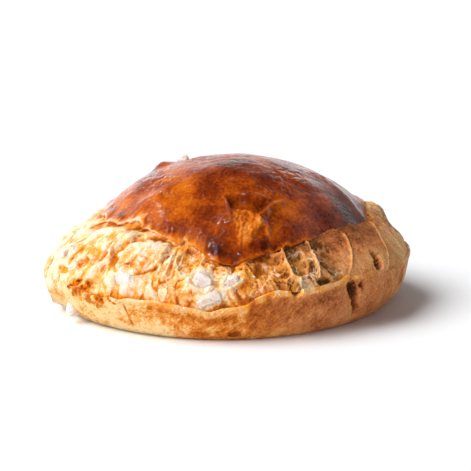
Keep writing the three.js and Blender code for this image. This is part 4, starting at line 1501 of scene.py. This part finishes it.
    def shape(self, piece: Piece, bearing: Array, share: Array) -> None:
        """Domes the grid over the loaf and paints how it was baked."""
        f = self.form
        teeth = self.tooth * f.ragged(bearing, 3.1, 140) + 0.35 * f.ragged(bearing, 1.3, 150)
        teeth += self.notch * ramp(0.3, 0.9, f.ragged(bearing, 5.5, 170))
        edge = f.cap_reach(bearing) + f.torn(bearing) * teeth / f.dome_length
        reach = 3 - share * (3 - edge)
        from_edge = (reach - edge) * f.dome_length
        p = f.point(bearing, reach)
        relief, amber = self.relief(bearing, p, from_edge)
        push = relief + f.swelling(p)
        place(piece, f.settle(p + f.outward(bearing, reach) * push[:, None]))
        self.paint_bake(piece, bearing, p, from_edge, amber)

    def paint_bake(self, piece: Piece, bearing: Array, p: Array, from_edge: Array, amber: Array) -> None:
        """Paints how brown the glaze is, darkest to the right with painted shade and pale at the rim, and how
        dull it is.
        """
        torn, left = self.form.torn(bearing), self.left(bearing)
        bake = 0.58 + 0.14 * lumps(p, 17) + 0.08 * lumps(p, 8)
        # Painted shade and light: the glaze is painted darker towards the right, away from the key light, and
        # paler towards the left.
        bake += 0.16 * ramp(-5, 48, p[:, 0]) - 0.14 * ramp(-15, -50, p[:, 0])
        for x, y, size, change in self.tones:
            bake += change * bell(size, np.hypot(p[:, 0] - x, p[:, 1] - y))
        radial = self.drawn_out(bearing, from_edge)
        bake += 0.05 * lumps(radial, (1.3, 1.3, 12)) + 0.06 * lumps(radial, (6, 6, 1.6))
        seared = bell(1.1, from_edge - 2.8 - 1.2 * lumps(p, 5)) * ramp(-0.3, 0.4, lumps(p, 7))
        pale = (0.32 + 0.2 * left) * bell(0.7 + left * (1.6 + 1.2 * lumps(p, 4)), from_edge)
        bake += torn * (0.26 * seared - pale)
        bake = mix(bake, 0.26 + 0.2 * lumps(p, 2.4) + 0.12 * lumps(p, 1.1), 0.85 * amber)
        paint(piece, "bake", np.clip(bake, 0, 1))
        paint(piece, "satin", np.maximum(ramp(8, 42, p[:, 0]), ramp(50, 57, p[:, 2])))

    def build(self, material: Material) -> Piece:
        """Makes the cap and dresses it."""
        piece, bearing, share = self.sheet()
        self.shape(piece, bearing, share)
        centre = tuple(self.form.settle(np.zeros((1, 3)))[0])
        steps = ((0.995, -0.45 * self.rim_thick), (0.98, -0.55 * self.rim_thick), (0.85, 0.5))
        close_inward(piece, open_edges(piece), steps, centre)
        finish_piece(piece, material, ["brioche"])
        return piece


# ---------------------------------------------------------------- nib sugar


@dataclass
class NibSugar:
    """The lumps of nib sugar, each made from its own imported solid."""

    prefix: str = "sugar_nib_"
    levels: int = 3
    swell: float = 1.35
    facets: int = 12
    flush: float = 0.5
    hidden_flush: float = 0.15
    cut: tuple[float, float] = (0.62, 0.82)
    on_top: float = 45.0
    level: Point = (1, 1, 0.3)
    crystal: float = 1.0
    crystal_rise: float = 0.18
    dent: float = 2.4
    dent_rise: float = 0.12

    def lump(self, node: Piece, material: Material) -> Piece:
        """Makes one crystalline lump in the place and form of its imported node."""
        only(node)
        bpy.ops.object.duplicate(linked=False)
        piece = bpy.context.object
        piece.parent = None
        for key in list(piece.keys()):
            if key.startswith("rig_"):
                del piece[key]
        piece.name = piece.data.name = "crystal_" + node.name
        bpy.ops.object.mode_set(mode="EDIT")
        bpy.ops.mesh.select_all(action="SELECT")
        bpy.ops.mesh.remove_doubles(threshold=1e-6)
        bpy.ops.object.mode_set(mode="OBJECT")
        smooth = piece.modifiers.new("smooth", "SUBSURF")
        smooth.levels = smooth.render_levels = self.levels
        bpy.ops.object.modifier_apply(modifier=smooth.name)
        co = places(piece) / MM
        centre = co.mean(axis=0)
        hidden = node.name == BURIED_NIB
        co = centre + (co - centre) * (1.0 if hidden or centre[2] > self.on_top else self.swell)
        rng = np.random.default_rng(int(node.name.rsplit("_", 1)[1]))
        # The first cut leaves the lump's outer face almost flush with the crumb, and the rest are facets.
        for n, way in enumerate((centre * self.level, *rng.normal(size=(self.facets, 3)))):
            way = way / np.linalg.norm(way)
            out = (co - centre) @ way
            kept = rng.uniform(*self.cut) if n else (self.hidden_flush if hidden else self.flush)
            co -= np.maximum(0, out - out.max() * kept)[:, None] * way
        way = (co - centre) / np.linalg.norm(co - centre, axis=1, keepdims=True)
        rough = self.crystal_rise * (1 - 2 * ramp(0.0, 0.5, cell_depth(co, self.crystal)))
        rough += self.dent_rise * lumps(co, self.dent)
        place(piece, (co + way * rough[:, None]) * MM)
        finish_piece(piece, material, [node.name])
        return piece

    def build(self, nodes: dict[str, Piece], material: Material) -> list[Piece]:
        """Makes every lump and dresses it."""
        names = sorted(name for name in nodes if name.startswith(self.prefix))
        return [self.lump(nodes[name], material) for name in names]


# ---------------------------------------------------------------- the studio


@dataclass(frozen=True)
class Lamp:
    """One light: a soft box if it has a size, or a distant lamp if it has a spread.

    A polarised light, as food photographers use to keep its glare off a glaze, is one without glare. A
    spark is the other way round: so small that it only shows as glints.
    """

    name: str
    azimuth: float
    elevation: float
    strength: float
    colour: str = "#ffffff"
    distance: float = 0.8
    size: float = 0.0
    height: float = 0.0
    spread: float = 0.0
    glare: bool = True
    fill: bool = True

    def build(self, aim: Vector) -> Piece:
        """Hangs the lamp round the loaf and turns it to face it."""
        nothing_selected()
        a, e = math.radians(self.azimuth), math.radians(self.elevation)
        way = Vector((math.sin(a) * math.cos(e), -math.cos(a) * math.cos(e), math.sin(e)))
        kind = "AREA" if self.size else "SUN"
        bpy.ops.object.light_add(type=kind, location=aim + way * self.distance)
        lamp = bpy.context.object
        lamp.name = self.name
        lamp.rotation_euler = (-way).to_track_quat("-Z", "Y").to_euler()
        lamp.data.energy = self.strength
        lamp.data.color = linear(self.colour)[:3]
        lamp.visible_glossy = self.glare
        lamp.visible_diffuse = self.fill
        if self.size:
            lamp.data.shape = "RECTANGLE"
            lamp.data.size, lamp.data.size_y = self.size, self.height
        else:
            lamp.data.angle = math.radians(self.spread)
        return lamp


@dataclass
class Studio:
    """A white paper sweep, soft light from the left, a weak fill from the front right, and the camera."""

    elevation: float = 11.5
    lens: float = 90.0
    sensor: float = 36.0
    target: Point = (4.348, 0.599, 26.3)
    camera_distance: float = 488.0
    aim_height: float = 25.0
    floor_size: float = 6.0
    sweep_radius: float = 2.2
    sweep_steps: int = 32
    seam: float = 0.15
    world_light: float = 0.015
    lamps: tuple[Lamp, ...] = (
        Lamp("polarised_key", azimuth=-88, elevation=50, strength=3.1, spread=50, glare=False),
        Lamp("polarised_front", azimuth=-60, elevation=34, strength=1.3, spread=40, glare=False),
        Lamp("polarised_back", azimuth=-150, elevation=34, strength=0.15, spread=50, glare=False),
        Lamp("front_card", azimuth=-8, elevation=5, strength=1.15, spread=60, glare=False),
        Lamp("right_card", azimuth=70, elevation=5, strength=0.42, spread=60, glare=False),
        Lamp("left_spark", azimuth=-112, elevation=50, strength=0.12, spread=3, fill=False),
        Lamp("top_spark", azimuth=-40, elevation=76, strength=0.16, spread=2, fill=False),
        Lamp("low_spark", azimuth=-34, elevation=22, strength=0.9, spread=3, fill=False),
        Lamp("back_box", azimuth=-168, elevation=25, strength=1.0, distance=0.9, size=1.3, height=0.5),
        Lamp(
            "right_box", azimuth=118, elevation=28, strength=1.3,
            distance=0.9, size=1.1, height=0.8, fill=False,
        ),
    )

    def build(self) -> None:
        """Lays the paper, hangs the lamps and sets up the camera."""
        white = StudioPaper().material()
        # The glaze shows the bright sweep behind it, and a polarising filter keeps out the table's glare.
        table, sweep = self.sheet("table_paper", white), self.sheet("background_paper", white)
        table.visible_glossy = False
        for paper, side in ((table, np.minimum), (sweep, np.maximum)):
            co = places(paper)
            co[:, 1] = side(co[:, 1], self.seam)
            place(paper, co)
        far = self.floor_size / 2
        only(sweep)
        select_edges(sweep, co[edge_ends(sweep)][:, :, 1].min(axis=1) > 0.9 * far)
        bpy.ops.object.mode_set(mode="EDIT")
        pivot = (0, far, self.sweep_radius)
        bpy.ops.mesh.spin(steps=self.sweep_steps, angle=-math.pi / 2, center=pivot, axis=(1, 0, 0))
        bpy.ops.mesh.select_all(action="SELECT")
        bpy.ops.mesh.normals_make_consistent(inside=True)
        bpy.ops.object.mode_set(mode="OBJECT")
        bpy.ops.object.shade_smooth()
        world = bpy.data.worlds.new("studio")
        world.use_nodes = True
        world.cycles_visibility.glossy = False
        sky = world.node_tree.nodes["Background"].inputs
        sky["Color"].default_value = linear("#ffffff")
        sky["Strength"].default_value = self.world_light
        bpy.context.scene.world = world
        bpy.context.scene.view_settings.view_transform = "Standard"
        aim = Vector((0, 0, self.aim_height * MM))
        for lamp in self.lamps:
            lamp.build(aim)
        self.place_camera()

    def sheet(self, name: str, white: Material) -> Piece:
        """Lays one flat sheet of white paper."""
        nothing_selected()
        bpy.ops.mesh.primitive_plane_add(size=self.floor_size)
        paper = bpy.context.object
        paper.name = name
        paper.data.materials.append(white)
        return paper

    def place_camera(self) -> None:
        """Sets up the camera just above the table, facing the front of the loaf."""
        e = math.radians(self.elevation)
        back = Vector((0, -math.cos(e), math.sin(e)))
        target = Vector(self.target) * MM
        bpy.ops.object.camera_add(location=target + back * self.camera_distance * MM)
        camera = bpy.context.object
        camera.rotation_euler = (-back).to_track_quat("-Z", "Y").to_euler()
        camera.data.lens = self.lens
        camera.data.sensor_width = self.sensor
        camera.data.clip_start = 0.01
        bpy.context.scene.camera = camera


def main() -> None:
    """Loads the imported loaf, dresses it and sets it in the studio."""
    logging.basicConfig(level=logging.INFO, format="%(name)s: %(message)s")
    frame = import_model()
    form = LoafForm()
    sugar = {name: node for name, node in frame["nodes"].items() if name.startswith(NibSugar.prefix)}
    nibs = tuple(Nib.of(sugar[name], form) for name in sorted(sugar))
    TornLoaf(form, nibs=nibs).build(TornCrumb().material())
    GlazedCap(form).build(EggWashedCrust().material())
    NibSugar().build(frame["nodes"], PressedSugar().material())
    Studio().build()


if __name__ == "__main__":
    main()
